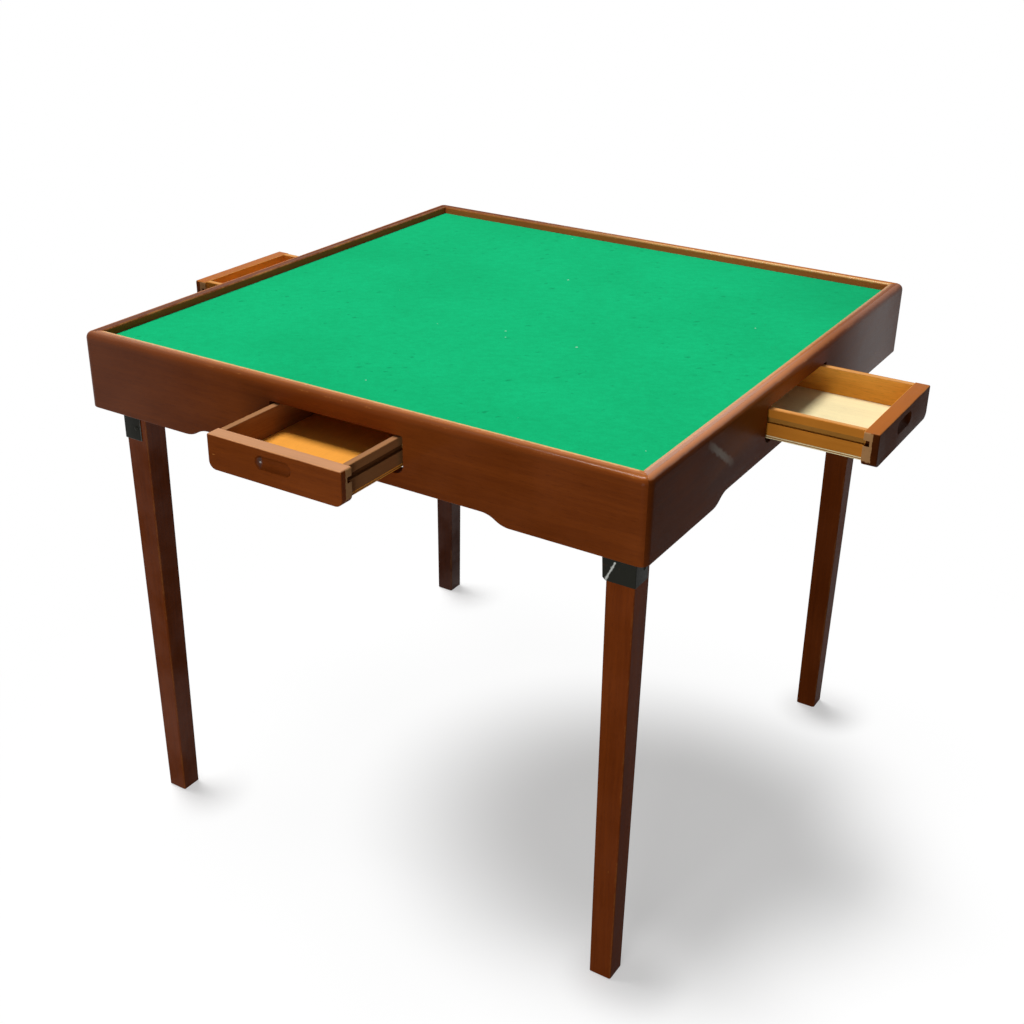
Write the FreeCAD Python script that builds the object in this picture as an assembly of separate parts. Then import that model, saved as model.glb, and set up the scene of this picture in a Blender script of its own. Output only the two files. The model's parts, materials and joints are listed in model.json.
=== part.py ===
import FreeCAD, Part
import math
import os

# A folding mahjong table: four mitred aprons stand up as a rim round a baize playing surface, each
# side holds a small drawer that hangs on side rails, and four tapered legs fold up inside the aprons,
# each along its own side so that the folded legs chase one another round the table.
# Millimetres, +Z up. The origin is on the floor under the middle of the table; the front faces -Y.
# Every side, drawer and leg is the front one turned about Z, a quarter turn at a time.

# Table
table_side = 864.0
table_height = 762.0

# Aprons: deep at the ends, with an ogee up to a shallower middle
apron_thickness = 20.0
apron_end_depth = 109.0
apron_middle_depth = 97.0
apron_middle_half_length = 214.0
ogee_length = 40.0
rim_outer_round = 9.0
rim_inner_round = 2.5
corner_round = 12.0
apron_foot_round = 2.0

# Playing surface: drops are measured down from the top of the rim
baize_drop = 11.0
baize_thickness = 1.5
panel_thickness = 10.0
panel_edge_gap = 0.5

# Drawer faces, which reach past their boxes at the ends and the foot, and the openings they close
drawer_face_drop = 30.0
drawer_face_overhang = 4.0
drawer_face_foot = 6.5
drawer_face_thickness = 20.0
drawer_face_bottom_round = 11.0
drawer_face_top_round = 2.5
drawer_face_ease = 1.6
opening_gap = 1.5
opening_top_gap = 2.5
pull_length = 56.0
pull_radius = 10.0
pull_depth = 6.5
pull_drop = 18.5

# Drawer boxes
drawer_box_width = 195.0
drawer_box_depth = 240.0
drawer_side_height = 36.0
drawer_side_thickness = 9.0
drawer_back_thickness = 9.0
drawer_bottom_thickness = 4.0
groove_drop = 11.5
groove_height = 7.5
groove_depth = 4.5
face_notch_depth = 8.0

# How far each drawer stands open
front_drawer_open = 116.0
right_drawer_open = 145.0
back_drawer_open = 0.0
left_drawer_open = 107.0

# Rails that the drawers hang on, with a tongue in each drawer side's groove
rail_thickness = 14.0
rail_foot = 0.5
rail_overhang = 6.0
tongue_height_play = 0.35
tongue_depth_play = 0.5
tongue_end_play = 0.5
tongue_back_gap = 3.0

# Cleats under the panel's edge, and the blocks in the corners
cleat_height = 18.0
cleat_width = 12.0
block_side = 64.0

# Legs: square, parallel under the shoe and then tapered to the foot
leg_width = 38.0
leg_foot_width = 32.0
leg_edge_round = 2.5
leg_foot_chamfer = 2.0
leg_fold_gap = 1.0

# Pressed steel shoe on the top of each leg
shoe_thickness = 1.5
shoe_drop = 67.0
shoe_taper_gap = 6.0
shoe_wrap_share = 0.78
shoe_wrap_top_drop = 5.0
shoe_lip_top_drop = 25.0
shoe_lip_run_share = 0.5
shoe_lip_overhang = 3.5
shoe_lip_corner = 5.0
shoe_lip_angle = 20.0
rivet_drop = 49.0
rivet_across_share = 0.57
rivet_radius = 2.0
rivet_head_radius = 3.6
rivet_head_height = 1.6
rivet_length = 12.0
rivet_play = 0.05

# Pressed steel bracket that each leg turns in, and its pivot bolt
bracket_thickness = 2.0
bracket_play = 0.3
bracket_ear_radius = 14.0
bracket_web_drop = 18.0
bracket_bridge_gap = 6.0
bolt_radius = 4.0
bolt_play = 0.05
bolt_head_flats = 13.0
bolt_head_height = 5.0
bolt_tip = 2.0
nut_height = 6.5
bracket_apron_gap = 4.2
bolt_apron_gap = 5.2

# Screws that hold the brackets up and the panel down
bracket_screw_radius = 1.75
bracket_screw_length = 16.0
bracket_screw_head_radius = 3.6
bracket_screw_head_height = 2.2
bracket_screw_place_share = 0.28
panel_screw_radius = 2.0
panel_screw_length = 32.0
panel_screw_head_radius = 4.0
panel_screw_head_height = 3.0
panel_screw_place_shares = (0.2, 0.8)
screw_play = 0.1

# Cutting tools pass the faces they cut by this much
overrun = 4.0
# Lengths closer than this count as equal
hair = 0.01

quarter_turn = 90.0
square_corners = 4
hexagon_sides = 6
side_names = ("front", "right", "back", "left")
leg_names = ("front_right", "back_right", "back_left", "front_left")
drawer_open = (front_drawer_open, right_drawer_open, back_drawer_open, left_drawer_open)

# Levels and lines worked out from the sizes above
half = table_side / 2
inner = half - apron_thickness
panel_top = table_height - baize_drop - baize_thickness
panel_bottom = panel_top - panel_thickness
face_top = table_height - drawer_face_drop
box_half = drawer_box_width / 2
box_bottom = face_top - drawer_side_height
drawer_underside = box_bottom - drawer_bottom_thickness
face_half = box_half + drawer_face_overhang
face_bottom = drawer_underside - drawer_face_foot
opening_top = face_top + opening_top_gap
opening_bottom = face_bottom - opening_gap
opening_half = face_half + opening_gap
groove_top = face_top - groove_drop
groove_bottom = groove_top - groove_height
groove_floor = box_half - groove_depth
face_back = -half + drawer_face_thickness
box_back = face_back + drawer_box_depth
rail_length = drawer_box_depth + rail_overhang
rail_bottom = box_bottom - rail_foot
leg_half = leg_width / 2
shoe_face = leg_half + shoe_thickness
wrap_width = shoe_wrap_share * leg_width
ear_inside = shoe_face + bracket_play
ear_outside = ear_inside + bracket_thickness
far_ear_inside = leg_half + bracket_play
far_ear_outside = far_ear_inside + bracket_thickness
leg_x = inner - bracket_apron_gap - ear_outside
leg_y = -inner + bolt_apron_gap + bolt_head_height + ear_outside
pivot_z = drawer_underside - leg_fold_gap - leg_half
shoe_bottom = pivot_z - shoe_drop
bridge_bottom = pivot_z + leg_half + bracket_bridge_gap
bridge_top = bridge_bottom + bracket_thickness

Vector = FreeCAD.Vector
along_x = Vector(1, 0, 0)
along_y = Vector(0, 1, 0)
along_z = Vector(0, 0, 1)


def box(low, high):
    """Box between two corners."""
    return Part.makeBox(high[0] - low[0], high[1] - low[1], high[2] - low[2], Vector(*low))


def line(start, end):
    return Part.LineSegment(start, end).toShape()


def arc(start, middle, end):
    return Part.Arc(start, middle, end).toShape()


def rounding(centre, radius, start_angle, end_angle, place):
    """Arc about a centre in a drawing plane; place turns drawing coordinates into points."""
    points = []
    for angle in (start_angle, (start_angle + end_angle) / 2, end_angle):
        turn = math.radians(angle)
        points.append(place(centre[0] + radius * math.cos(turn), centre[1] + radius * math.sin(turn)))
    return arc(*points)


def prism(edges, sweep):
    """Solid swept from a closed outline of edges."""
    wire = Part.Wire(Part.__sortEdges__(edges))
    return Part.Face(wire).extrude(sweep)


def polygon(points, sweep):
    return Part.Face(Part.makePolygon(points + points[:1])).extrude(sweep)


def side_view(y):
    """Drawing plane seen from the front, at the given depth."""
    return lambda x, z: Vector(x, y, z)


def rounded_panel(half_length, bottom, top, bottom_round, top_round, y_front, y_back):
    """Upright board with rounded corners, between two depths."""
    place = side_view(y_front)
    low = bottom + bottom_round
    high = top - top_round
    foot = half_length - bottom_round
    head = half_length - top_round
    edges = [
        line(place(-foot, bottom), place(foot, bottom)),
        rounding((foot, low), bottom_round, -90, 0, place),
        line(place(half_length, low), place(half_length, high)),
        rounding((head, high), top_round, 0, 90, place),
        line(place(head, top), place(-head, top)),
        rounding((-head, high), top_round, 90, 180, place),
        line(place(-half_length, high), place(-half_length, low)),
        rounding((-foot, low), bottom_round, 180, 270, place),
    ]
    return prism(edges, along_y * (y_back - y_front))


def turned(shape, turns, outward=0.0):
    """Copy of a front piece, drawn outwards and then turned to another side."""
    piece = shape.copy()
    piece.translate(Vector(0, -outward, 0))
    piece.rotate(Vector(0, 0, 0), along_z, quarter_turn * turns)
    return piece


def mirrored(shape):
    return shape.mirror(Vector(0, 0, 0), along_x)


def at_leg(shape):
    """Moves a piece drawn about a leg's own axis to the front right corner."""
    shape.translate(Vector(leg_x, leg_y, 0))
    return shape


# Aprons
def apron_outline():
    """The board seen from the front: an S of two equal arcs joins each deep end to the middle."""
    place = side_view(-half - overrun)
    top = table_height
    deep = table_height - apron_end_depth
    shallow = table_height - apron_middle_depth
    end = half + overrun
    run = ogee_length / 2
    rise = (shallow - deep) / 2
    radius = (run * run + rise * rise) / (2 * rise)
    sweep = math.degrees(math.asin(run / radius))
    ogee_end = apron_middle_half_length + ogee_length
    edges = [line(place(-end, top), place(end, top))]
    for hand in (-1, 1):
        mirror = lambda x, z, hand=hand: place(hand * x, z)
        edges += [
            line(mirror(end, top), mirror(end, deep)),
            line(mirror(end, deep), mirror(ogee_end, deep)),
            rounding((ogee_end, deep + radius), radius, -90, -90 - sweep, mirror),
            rounding((apron_middle_half_length, shallow - radius), radius, 90 - sweep, 90, mirror),
        ]
    edges.append(line(place(-apron_middle_half_length, shallow), place(apron_middle_half_length, shallow)))
    return prism(edges, along_y * (apron_thickness + 2 * overrun))


def apron_plan():
    """The board seen from above: mitred ends, with the table's corners rounded."""
    bottom = table_height - apron_end_depth - overrun
    centre = half - corner_round
    place = lambda x, y: Vector(x, y, bottom)
    edges = [line(place(-centre, -half), place(centre, -half))]
    edges.append(line(place(-inner, -inner), place(inner, -inner)))
    for hand in (-1, 1):
        mirror = lambda x, y, hand=hand: place(hand * x, y)
        corner = centre + corner_round * math.cos(math.radians(quarter_turn / 2))
        edges.append(rounding((centre, -centre), corner_round, -90, -45, mirror))
        edges.append(line(mirror(corner, -corner), mirror(inner, -inner)))
    return prism(edges, along_z * (apron_end_depth + 2 * overrun))


def rounded_along(board, radius, chosen):
    """Rounds the edges along the board whose bounding boxes are chosen."""
    edges = []
    for edge in board.Edges:
        bounds = edge.BoundBox
        if bounds.XLength > bounds.YLength + hair and chosen(bounds):
            edges.append(edge)
    return board.makeFillet(radius, edges)


def apron():
    """A mitred board, well rounded outside its rim and eased inside it and along its foot."""
    board = apron_outline().common(apron_plan())
    lowest = table_height - apron_middle_depth + apron_foot_round
    highest = table_height - hair
    board = rounded_along(board, apron_foot_round, lambda bounds: bounds.ZMax < lowest)
    board = rounded_along(
        board, rim_outer_round, lambda bounds: bounds.ZMin > highest and bounds.YMax < -inner - hair)
    board = rounded_along(
        board, rim_inner_round, lambda bounds: bounds.ZMin > highest and bounds.YMin > -inner - hair)
    opening = rounded_panel(
        opening_half, opening_bottom, opening_top,
        drawer_face_bottom_round + opening_gap, drawer_face_top_round,
        -half - overrun, -inner + overrun)
    return board.cut(opening)


# Playing surface
def panel_screw(play):
    """Countersunk screw, or with some play the hole for it, head up at the panel's top."""
    shank = Part.makeCylinder(
        panel_screw_radius + play, panel_screw_length, Vector(0, 0, panel_top), -along_z)
    head = Part.makeCone(
        panel_screw_head_radius + play, panel_screw_radius + play, panel_screw_head_height,
        Vector(0, 0, panel_top), -along_z)
    return shank.fuse(head).removeSplitter()


def panel_screw_places():
    """Two screws into each rail and one into each corner block."""
    places = []
    across = opening_half + rail_thickness / 2
    block = inner - block_side / 2
    for turns in range(len(side_names)):
        points = [Vector(block, -block, 0)]
        for share in panel_screw_place_shares:
            for hand in (-1, 1):
                points.append(Vector(hand * across, -inner + share * rail_length, 0))
        turn = FreeCAD.Rotation(along_z, quarter_turn * turns)
        places += [turn.multVec(point) for point in points]
    return places


def panel_screws(play):
    screws = []
    for place in panel_screw_places():
        screw = panel_screw(play)
        screw.translate(place)
        screws.append(screw)
    return screws


def square_sheet(half_side, bottom, top):
    return box((-half_side, -half_side, bottom), (half_side, half_side, top))


def drilled(shape, tools):
    """Cuts each tool that reaches the shape."""
    for tool in tools:
        if tool.BoundBox.intersect(shape.BoundBox):
            shape = shape.cut(tool)
    return shape


# Rails, cleats and corner blocks
def rail():
    """The rail on the right of the front drawer, with its tongue running out through the apron."""
    body = box(
        (opening_half, -inner, rail_bottom),
        (opening_half + rail_thickness, -inner + rail_length, panel_bottom))
    tongue = box(
        (groove_floor + tongue_depth_play, face_back - face_notch_depth + tongue_end_play,
         groove_bottom + tongue_height_play),
        (opening_half, -inner + rail_length - tongue_back_gap, groove_top - tongue_height_play))
    return body.fuse(tongue).removeSplitter()


def cleat():
    """The cleat between the right-hand rail and the corner block."""
    return box(
        (opening_half + rail_thickness, -inner, panel_bottom - cleat_height),
        (inner - block_side, -inner + cleat_width, panel_bottom))


def corner_block():
    return box((inner - block_side, -inner, bridge_top), (inner, -inner + block_side, panel_bottom))


# Drawers
def drawer_face():
    face = rounded_panel(
        face_half, face_bottom, face_top, drawer_face_bottom_round, drawer_face_top_round,
        -half, face_back)
    outer = [edge for edge in face.Edges if edge.BoundBox.YMax < -half + drawer_face_ease / 2]
    face = face.makeFillet(drawer_face_ease, outer)
    reach = pull_length / 2 - pull_radius
    axis_y = -half - (pull_radius - pull_depth)
    axis_z = face_top - pull_drop
    scoop = Part.makeCylinder(pull_radius, 2 * reach, Vector(-reach, axis_y, axis_z), along_x)
    for hand in (-1, 1):
        scoop = scoop.fuse(Part.makeSphere(pull_radius, Vector(hand * reach, axis_y, axis_z)))
    face = face.cut(scoop.removeSplitter())
    notch = box(
        (groove_floor, face_back - face_notch_depth, groove_bottom),
        (face_half + overrun, face_back + overrun, groove_top))
    return face.cut(notch).cut(mirrored(notch))


def drawer_side():
    """The right-hand side, grooved for the rail's tongue."""
    side = box(
        (box_half - drawer_side_thickness, face_back, box_bottom), (box_half, box_back, face_top))
    groove = box(
        (groove_floor, face_back - overrun, groove_bottom),
        (box_half + overrun, box_back + overrun, groove_top))
    return side.cut(groove)


def drawer_back():
    reach = box_half - drawer_side_thickness
    return box((-reach, box_back - drawer_back_thickness, box_bottom), (reach, box_back, face_top))


def drawer_bottom():
    return box((-box_half, face_back, drawer_underside), (box_half, box_back, box_bottom))


# Legs and their shoes, drawn about the leg's own axis
def rounded_square(width, z):
    reach = width / 2
    flat = reach - leg_edge_round
    place = lambda x, y: Vector(x, y, z)
    edges = []
    for corner in range(square_corners):
        start = quarter_turn * corner
        turn = FreeCAD.Rotation(along_z, start)
        edges.append(line(turn.multVec(place(reach, -flat)), turn.multVec(place(reach, flat))))
        centre = turn.multVec(place(flat, flat))
        edges.append(rounding((centre.x, centre.y), leg_edge_round, start, start + quarter_turn, place))
    return Part.Wire(Part.__sortEdges__(edges))


def pivot_hole(play, y_from, y_to):
    return Part.makeCylinder(bolt_radius + play, y_to - y_from, Vector(0, y_from, pivot_z), along_y)


def rivet(play):
    """Domed rivet through the shoe's wrap into the leg; with some play, the hole for its shank."""
    across = -leg_half + rivet_across_share * leg_width
    start = Vector(shoe_face, across, pivot_z - rivet_drop)
    shank = Part.makeCylinder(rivet_radius + play, rivet_length, start, -along_x)
    if play:
        return shank
    ball = (rivet_head_radius ** 2 + rivet_head_height ** 2) / (2 * rivet_head_height)
    dome = Part.makeSphere(ball, start + along_x * (rivet_head_height - ball))
    cap = box(
        (shoe_face, start.y - ball, start.z - ball), (shoe_face + ball, start.y + ball, start.z + ball))
    return shank.fuse(dome.common(cap)).removeSplitter()


def leg():
    top = pivot_z + leg_half
    sections = [
        rounded_square(leg_foot_width - 2 * leg_foot_chamfer, 0),
        rounded_square(leg_foot_width, leg_foot_chamfer),
        rounded_square(leg_width, shoe_bottom - shoe_taper_gap),
        rounded_square(leg_width, top),
    ]
    post = Part.makeLoft(sections, True, True)
    reach = leg_half + overrun
    corners = box((-reach, -reach, pivot_z), (reach, reach, top + overrun))
    corners = corners.cut(
        Part.makeCylinder(leg_half, 2 * reach, Vector(0, -reach, pivot_z), along_y))
    post = post.cut(corners)
    return post.cut(pivot_hole(bolt_play, -reach, reach)).cut(rivet(rivet_play))


def shoe():
    """Angle of sheet steel over the leg's outer side and end, with one corner sprung outwards."""
    place = side_view(-shoe_face)
    wrap_top = pivot_z - shoe_wrap_top_drop
    lip_top = pivot_z - shoe_lip_top_drop
    heel = place(-leg_half, shoe_bottom)
    bend = place(-leg_half + shoe_lip_run_share * leg_width, lip_top)
    edges = [
        line(heel, place(shoe_face, shoe_bottom)),
        line(place(shoe_face, shoe_bottom), place(shoe_face, wrap_top)),
        line(place(shoe_face, wrap_top), place(leg_half, wrap_top)),
        line(place(leg_half, wrap_top), place(leg_half, pivot_z)),
        rounding((0, pivot_z), leg_half, 0, 180, place),
        line(place(-leg_half, pivot_z), place(-leg_half, lip_top)),
        line(place(-leg_half, lip_top), bend),
        line(bend, heel),
    ]
    cheek = prism(edges, along_y * shoe_thickness)
    wrap = box((leg_half, -shoe_face, shoe_bottom), (shoe_face, -leg_half + wrap_width, wrap_top))
    edge = -leg_half - shoe_lip_overhang
    lip = polygon(
        [heel, bend, place(edge, lip_top), place(edge, shoe_bottom + shoe_lip_corner)],
        along_y * shoe_thickness)
    hinge = heel + along_y * shoe_thickness
    lip.rotate(hinge, bend - heel, shoe_lip_angle)
    plate = cheek.fuse([wrap, lip]).removeSplitter()
    plate = plate.cut(pivot_hole(bolt_play, -shoe_face - overrun, 0))
    return plate.cut(rivet(rivet_play))


# Pivot brackets and their fasteners, drawn about the leg's own axis
def bracket_screw_places():
    across = bracket_screw_place_share * leg_width
    return (Vector(0, -across, 0), Vector(0, across, 0))


def bracket_screw(play):
    """Round-headed screw up into the corner block; with some play, the hole for its shank."""
    shank = Part.makeCylinder(
        bracket_screw_radius + play, bracket_screw_length, Vector(0, 0, bridge_bottom), along_z)
    if play:
        return shank
    head = Part.makeCylinder(
        bracket_screw_head_radius, bracket_screw_head_height, Vector(0, 0, bridge_bottom), -along_z)
    return shank.fuse(head).removeSplitter()


def bracket_screws(play):
    screws = []
    for place in bracket_screw_places():
        screw = bracket_screw(play)
        screw.translate(place)
        screws.append(screw)
    return screws


def bracket():
    """Three-sided cap over the leg's top: two ears for the bolt, and a web that stops the leg upright."""
    ears = []
    for start, end in ((-ear_outside, -ear_inside), (far_ear_inside, far_ear_outside)):
        place = side_view(start)
        edges = [
            line(place(-bracket_ear_radius, bridge_top), place(-bracket_ear_radius, pivot_z)),
            rounding((0, pivot_z), bracket_ear_radius, 180, 270, place),
            line(place(0, pivot_z - bracket_ear_radius), place(ear_outside, pivot_z - bracket_ear_radius)),
            line(place(ear_outside, pivot_z - bracket_ear_radius), place(ear_outside, bridge_top)),
            line(place(ear_outside, bridge_top), place(-bracket_ear_radius, bridge_top)),
        ]
        ears.append(prism(edges, along_y * (end - start)))
    web = box(
        (ear_inside, -ear_outside, pivot_z - bracket_web_drop), (ear_outside, far_ear_outside, bridge_top))
    bridge = box(
        (-bracket_ear_radius, -ear_outside, bridge_bottom), (ear_outside, far_ear_outside, bridge_top))
    cap = bridge.fuse(ears + [web]).removeSplitter()
    cap = cap.cut(pivot_hole(bolt_play, -ear_outside - overrun, far_ear_outside + overrun))
    return drilled(cap, bracket_screws(screw_play))


def hexagon(flats, y_from, y_to):
    """Hexagonal bar along Y on the pivot's axis."""
    corner = flats / 2 / math.cos(math.pi / hexagon_sides)
    points = []
    for side in range(hexagon_sides):
        turn = 2 * math.pi * side / hexagon_sides
        points.append(Vector(corner * math.cos(turn), y_from, pivot_z + corner * math.sin(turn)))
    return polygon(points, along_y * (y_to - y_from))


def pivot_bolt():
    shank = pivot_hole(0, -ear_outside, far_ear_outside + nut_height + bolt_tip)
    head = hexagon(bolt_head_flats, -ear_outside - bolt_head_height, -ear_outside)
    return shank.fuse(head).removeSplitter()


def pivot_nut():
    nut = hexagon(bolt_head_flats, far_ear_outside, far_ear_outside + nut_height)
    return nut.cut(pivot_hole(bolt_play, far_ear_outside - overrun, far_ear_outside + nut_height + overrun))


# Assembly: every node by name, with groups of identical fasteners as compounds
nodes = {}
screw_holes = panel_screws(screw_play)
half_sheet = inner - panel_edge_gap
nodes["baize"] = square_sheet(half_sheet, panel_top, panel_top + baize_thickness)
nodes["top_panel"] = drilled(square_sheet(half_sheet, panel_bottom, panel_top), screw_holes)
nodes["panel_screws"] = Part.makeCompound(panel_screws(0))

cleats = []
bolts = []
nuts = []
block_screws = []
for turns, (side, leg_name) in enumerate(zip(side_names, leg_names)):
    nodes[f"{side}_apron"] = turned(apron(), turns)
    for hand, piece in (("right", rail()), ("left", mirrored(rail()))):
        nodes[f"{side}_drawer_{hand}_rail"] = drilled(turned(piece, turns), screw_holes)
    cleats += [turned(cleat(), turns), turned(mirrored(cleat()), turns)]

    outward = drawer_open[turns]
    nodes[f"{side}_drawer_face"] = turned(drawer_face(), turns, outward)
    nodes[f"{side}_drawer_right_side"] = turned(drawer_side(), turns, outward)
    nodes[f"{side}_drawer_left_side"] = turned(mirrored(drawer_side()), turns, outward)
    nodes[f"{side}_drawer_back"] = turned(drawer_back(), turns, outward)
    nodes[f"{side}_drawer_bottom"] = turned(drawer_bottom(), turns, outward)

    block = drilled(corner_block(), [at_leg(hole) for hole in bracket_screws(screw_play)])
    nodes[f"{leg_name}_corner_block"] = drilled(turned(block, turns), screw_holes)
    nodes[f"{leg_name}_leg"] = turned(at_leg(leg()), turns)
    nodes[f"{leg_name}_leg_shoe"] = turned(at_leg(shoe()), turns)
    nodes[f"{leg_name}_leg_rivet"] = turned(at_leg(rivet(0)), turns)
    nodes[f"{leg_name}_pivot_bracket"] = turned(at_leg(bracket()), turns)
    bolts.append(turned(at_leg(pivot_bolt()), turns))
    nuts.append(turned(at_leg(pivot_nut()), turns))
    block_screws += [turned(at_leg(screw), turns) for screw in bracket_screws(0)]

nodes["panel_cleats"] = Part.makeCompound(cleats)
nodes["pivot_bolts"] = Part.makeCompound(bolts)
nodes["pivot_nuts"] = Part.makeCompound(nuts)
nodes["bracket_screws"] = Part.makeCompound(block_screws)

os.makedirs("parts", exist_ok=True)
for name, shape in nodes.items():
    shape.exportStep(os.path.join("parts", f"{name}.step"))
    print(f"{name}: {len(shape.Solids)} solid, {shape.Volume / 1000:.1f} cm3, valid {shape.isValid()}")
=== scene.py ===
"""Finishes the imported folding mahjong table: soft edges, polished wood, baize cloth and worn steel."""

import json
import math
from typing import NamedTuple

import bmesh
import bpy
from bpy.props import FloatProperty, FloatVectorProperty, IntProperty, PointerProperty
from mathutils import Euler, Matrix, Vector, noise


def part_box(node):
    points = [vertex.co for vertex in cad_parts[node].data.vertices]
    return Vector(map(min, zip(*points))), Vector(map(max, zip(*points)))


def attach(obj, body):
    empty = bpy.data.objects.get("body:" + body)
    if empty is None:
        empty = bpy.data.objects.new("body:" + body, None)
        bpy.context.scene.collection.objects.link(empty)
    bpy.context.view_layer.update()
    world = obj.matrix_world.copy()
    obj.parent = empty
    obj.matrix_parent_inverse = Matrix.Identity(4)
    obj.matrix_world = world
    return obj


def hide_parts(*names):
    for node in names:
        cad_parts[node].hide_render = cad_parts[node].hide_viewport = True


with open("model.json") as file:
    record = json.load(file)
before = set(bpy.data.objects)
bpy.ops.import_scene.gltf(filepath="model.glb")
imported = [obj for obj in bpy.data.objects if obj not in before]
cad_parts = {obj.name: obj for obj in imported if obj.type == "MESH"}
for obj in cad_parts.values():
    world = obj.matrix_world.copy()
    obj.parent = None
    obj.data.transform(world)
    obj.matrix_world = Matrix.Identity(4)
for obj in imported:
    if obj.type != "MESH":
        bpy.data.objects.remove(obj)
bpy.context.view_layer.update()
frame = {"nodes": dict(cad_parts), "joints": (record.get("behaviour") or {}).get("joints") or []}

bl_info = {
    "name": "Folding mahjong table",
    "version": (1, 0, 0),
    "blender": (4, 5, 0),
    "location": "3D View > Sidebar > Mahjong table",
    "description": "Finishes a packed mahjong table with polished wood, baize and worn steel",
    "category": "Object",
}

SIDES = ("front", "right", "back", "left")
LEGS = ("front_right", "back_right", "back_left", "front_left")
OUTWARD = {"front": Vector((0, -1, 0)), "right": Vector((1, 0, 0)),
           "back": Vector((0, 1, 0)), "left": Vector((-1, 0, 0))}
DOWN = Vector((0, 0, -1))
TABLE = "table"
CLOTH_LOW, CLOTH_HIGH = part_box("baize")

# Where each kind of piece starts its seeds, so that pieces differ in their grain and wear
SEEDS = {"framing": 10, "face": 30, "box": 40, "bottom": 60, "leg": 70, "shoe": 80, "bracket": 90,
         "rivet": 100, "screw": 110, "bolt": 120, "brad": 130}

# Angle from which an edge of the CAD counts as sharp, and the largest one that is shaded smooth
SHARP = math.radians(38)
# Points nearer than this count as one, and faces within this angle as one flat face
MERGE = 1e-6
FLAT = math.radians(0.4)


def display(red, green, blue):
    """A colour as it looks on screen, 0 to 255, as the linear numbers that Blender works with."""
    linear = []
    for value in (red, green, blue):
        share = value / 255
        linear.append(share / 12.92 if share <= 0.04045 else ((share + 0.055) / 1.055) ** 2.4)
    return tuple(linear)


def length(name, description, default):
    return FloatProperty(name=name, description=description, default=default, min=0, unit="LENGTH")


def colour(name, description, red, green, blue):
    return FloatVectorProperty(
        name=name, description=description, default=display(red, green, blue), min=0, max=1,
        subtype="COLOR")


class TableSizes(bpy.types.PropertyGroup):
    apron_edge: length("Apron edges", "Rounding of the aprons' cut edges", 0.0006)
    drawer_edge: length("Drawer edges", "Rounding of the drawers' sawn edges", 0.0008)
    plywood_edge: length("Plywood edges", "Rounding of the drawer bottoms", 0.0003)
    shoe_bend: length("Shoe bend", "Radius of the bend where a shoe wraps the leg's corner", 0.002)
    shoe_plate: length("Shoe plate", "Thickness of a shoe's steel", 0.0015)
    lip_drop: length("Lip drop", "From a leg's pivot down to the top of its shoe's lip", 0.025)
    cloth_step: length("Cloth step", "Spacing of the baize's mesh", 0.007)
    cloth_relief: length("Cloth relief", "How unevenly the baize lies on its panel", 0.00012)
    cloth_roll: length("Cloth edge", "Rounding of the baize's cut edge", 0.0006)
    groove_drop: length("Groove drop", "From the top of a drawer side down to its groove", 0.0115)
    groove_height: length("Groove height", "Height of the groove in a drawer side", 0.0075)
    pull_drop: length("Pull drop", "From the top of a drawer face down to its finger pull", 0.0185)
    pull_half: length("Pull half length", "Half the length of a finger pull", 0.028)
    rivet_head: length("Rivet head", "Radius of the head of each leg's rivet", 0.0036)
    rivet_height: length("Rivet height", "Height of the head of each leg's rivet", 0.0016)
    screw_height: length("Screw head height", "Height of the bracket screws' heads", 0.0022)
    slot_width: length("Screw slot width", "Width of the slot in a bracket screw", 0.001)
    slot_depth: length("Screw slot depth", "Depth of the slot in a bracket screw", 0.0011)
    brad_head: length("Brad head", "Radius of the brads under a drawer", 0.0015)
    brad_inset: length("Brad inset", "From the edge of a drawer's bottom to its brads", 0.0045)
    round_sides: IntProperty(
        name="Round sides", description="Sides that a round head is made with", default=28, min=8)
    seed: IntProperty(name="Seed", description="Turns each screw's slot its own way", default=3)


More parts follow.
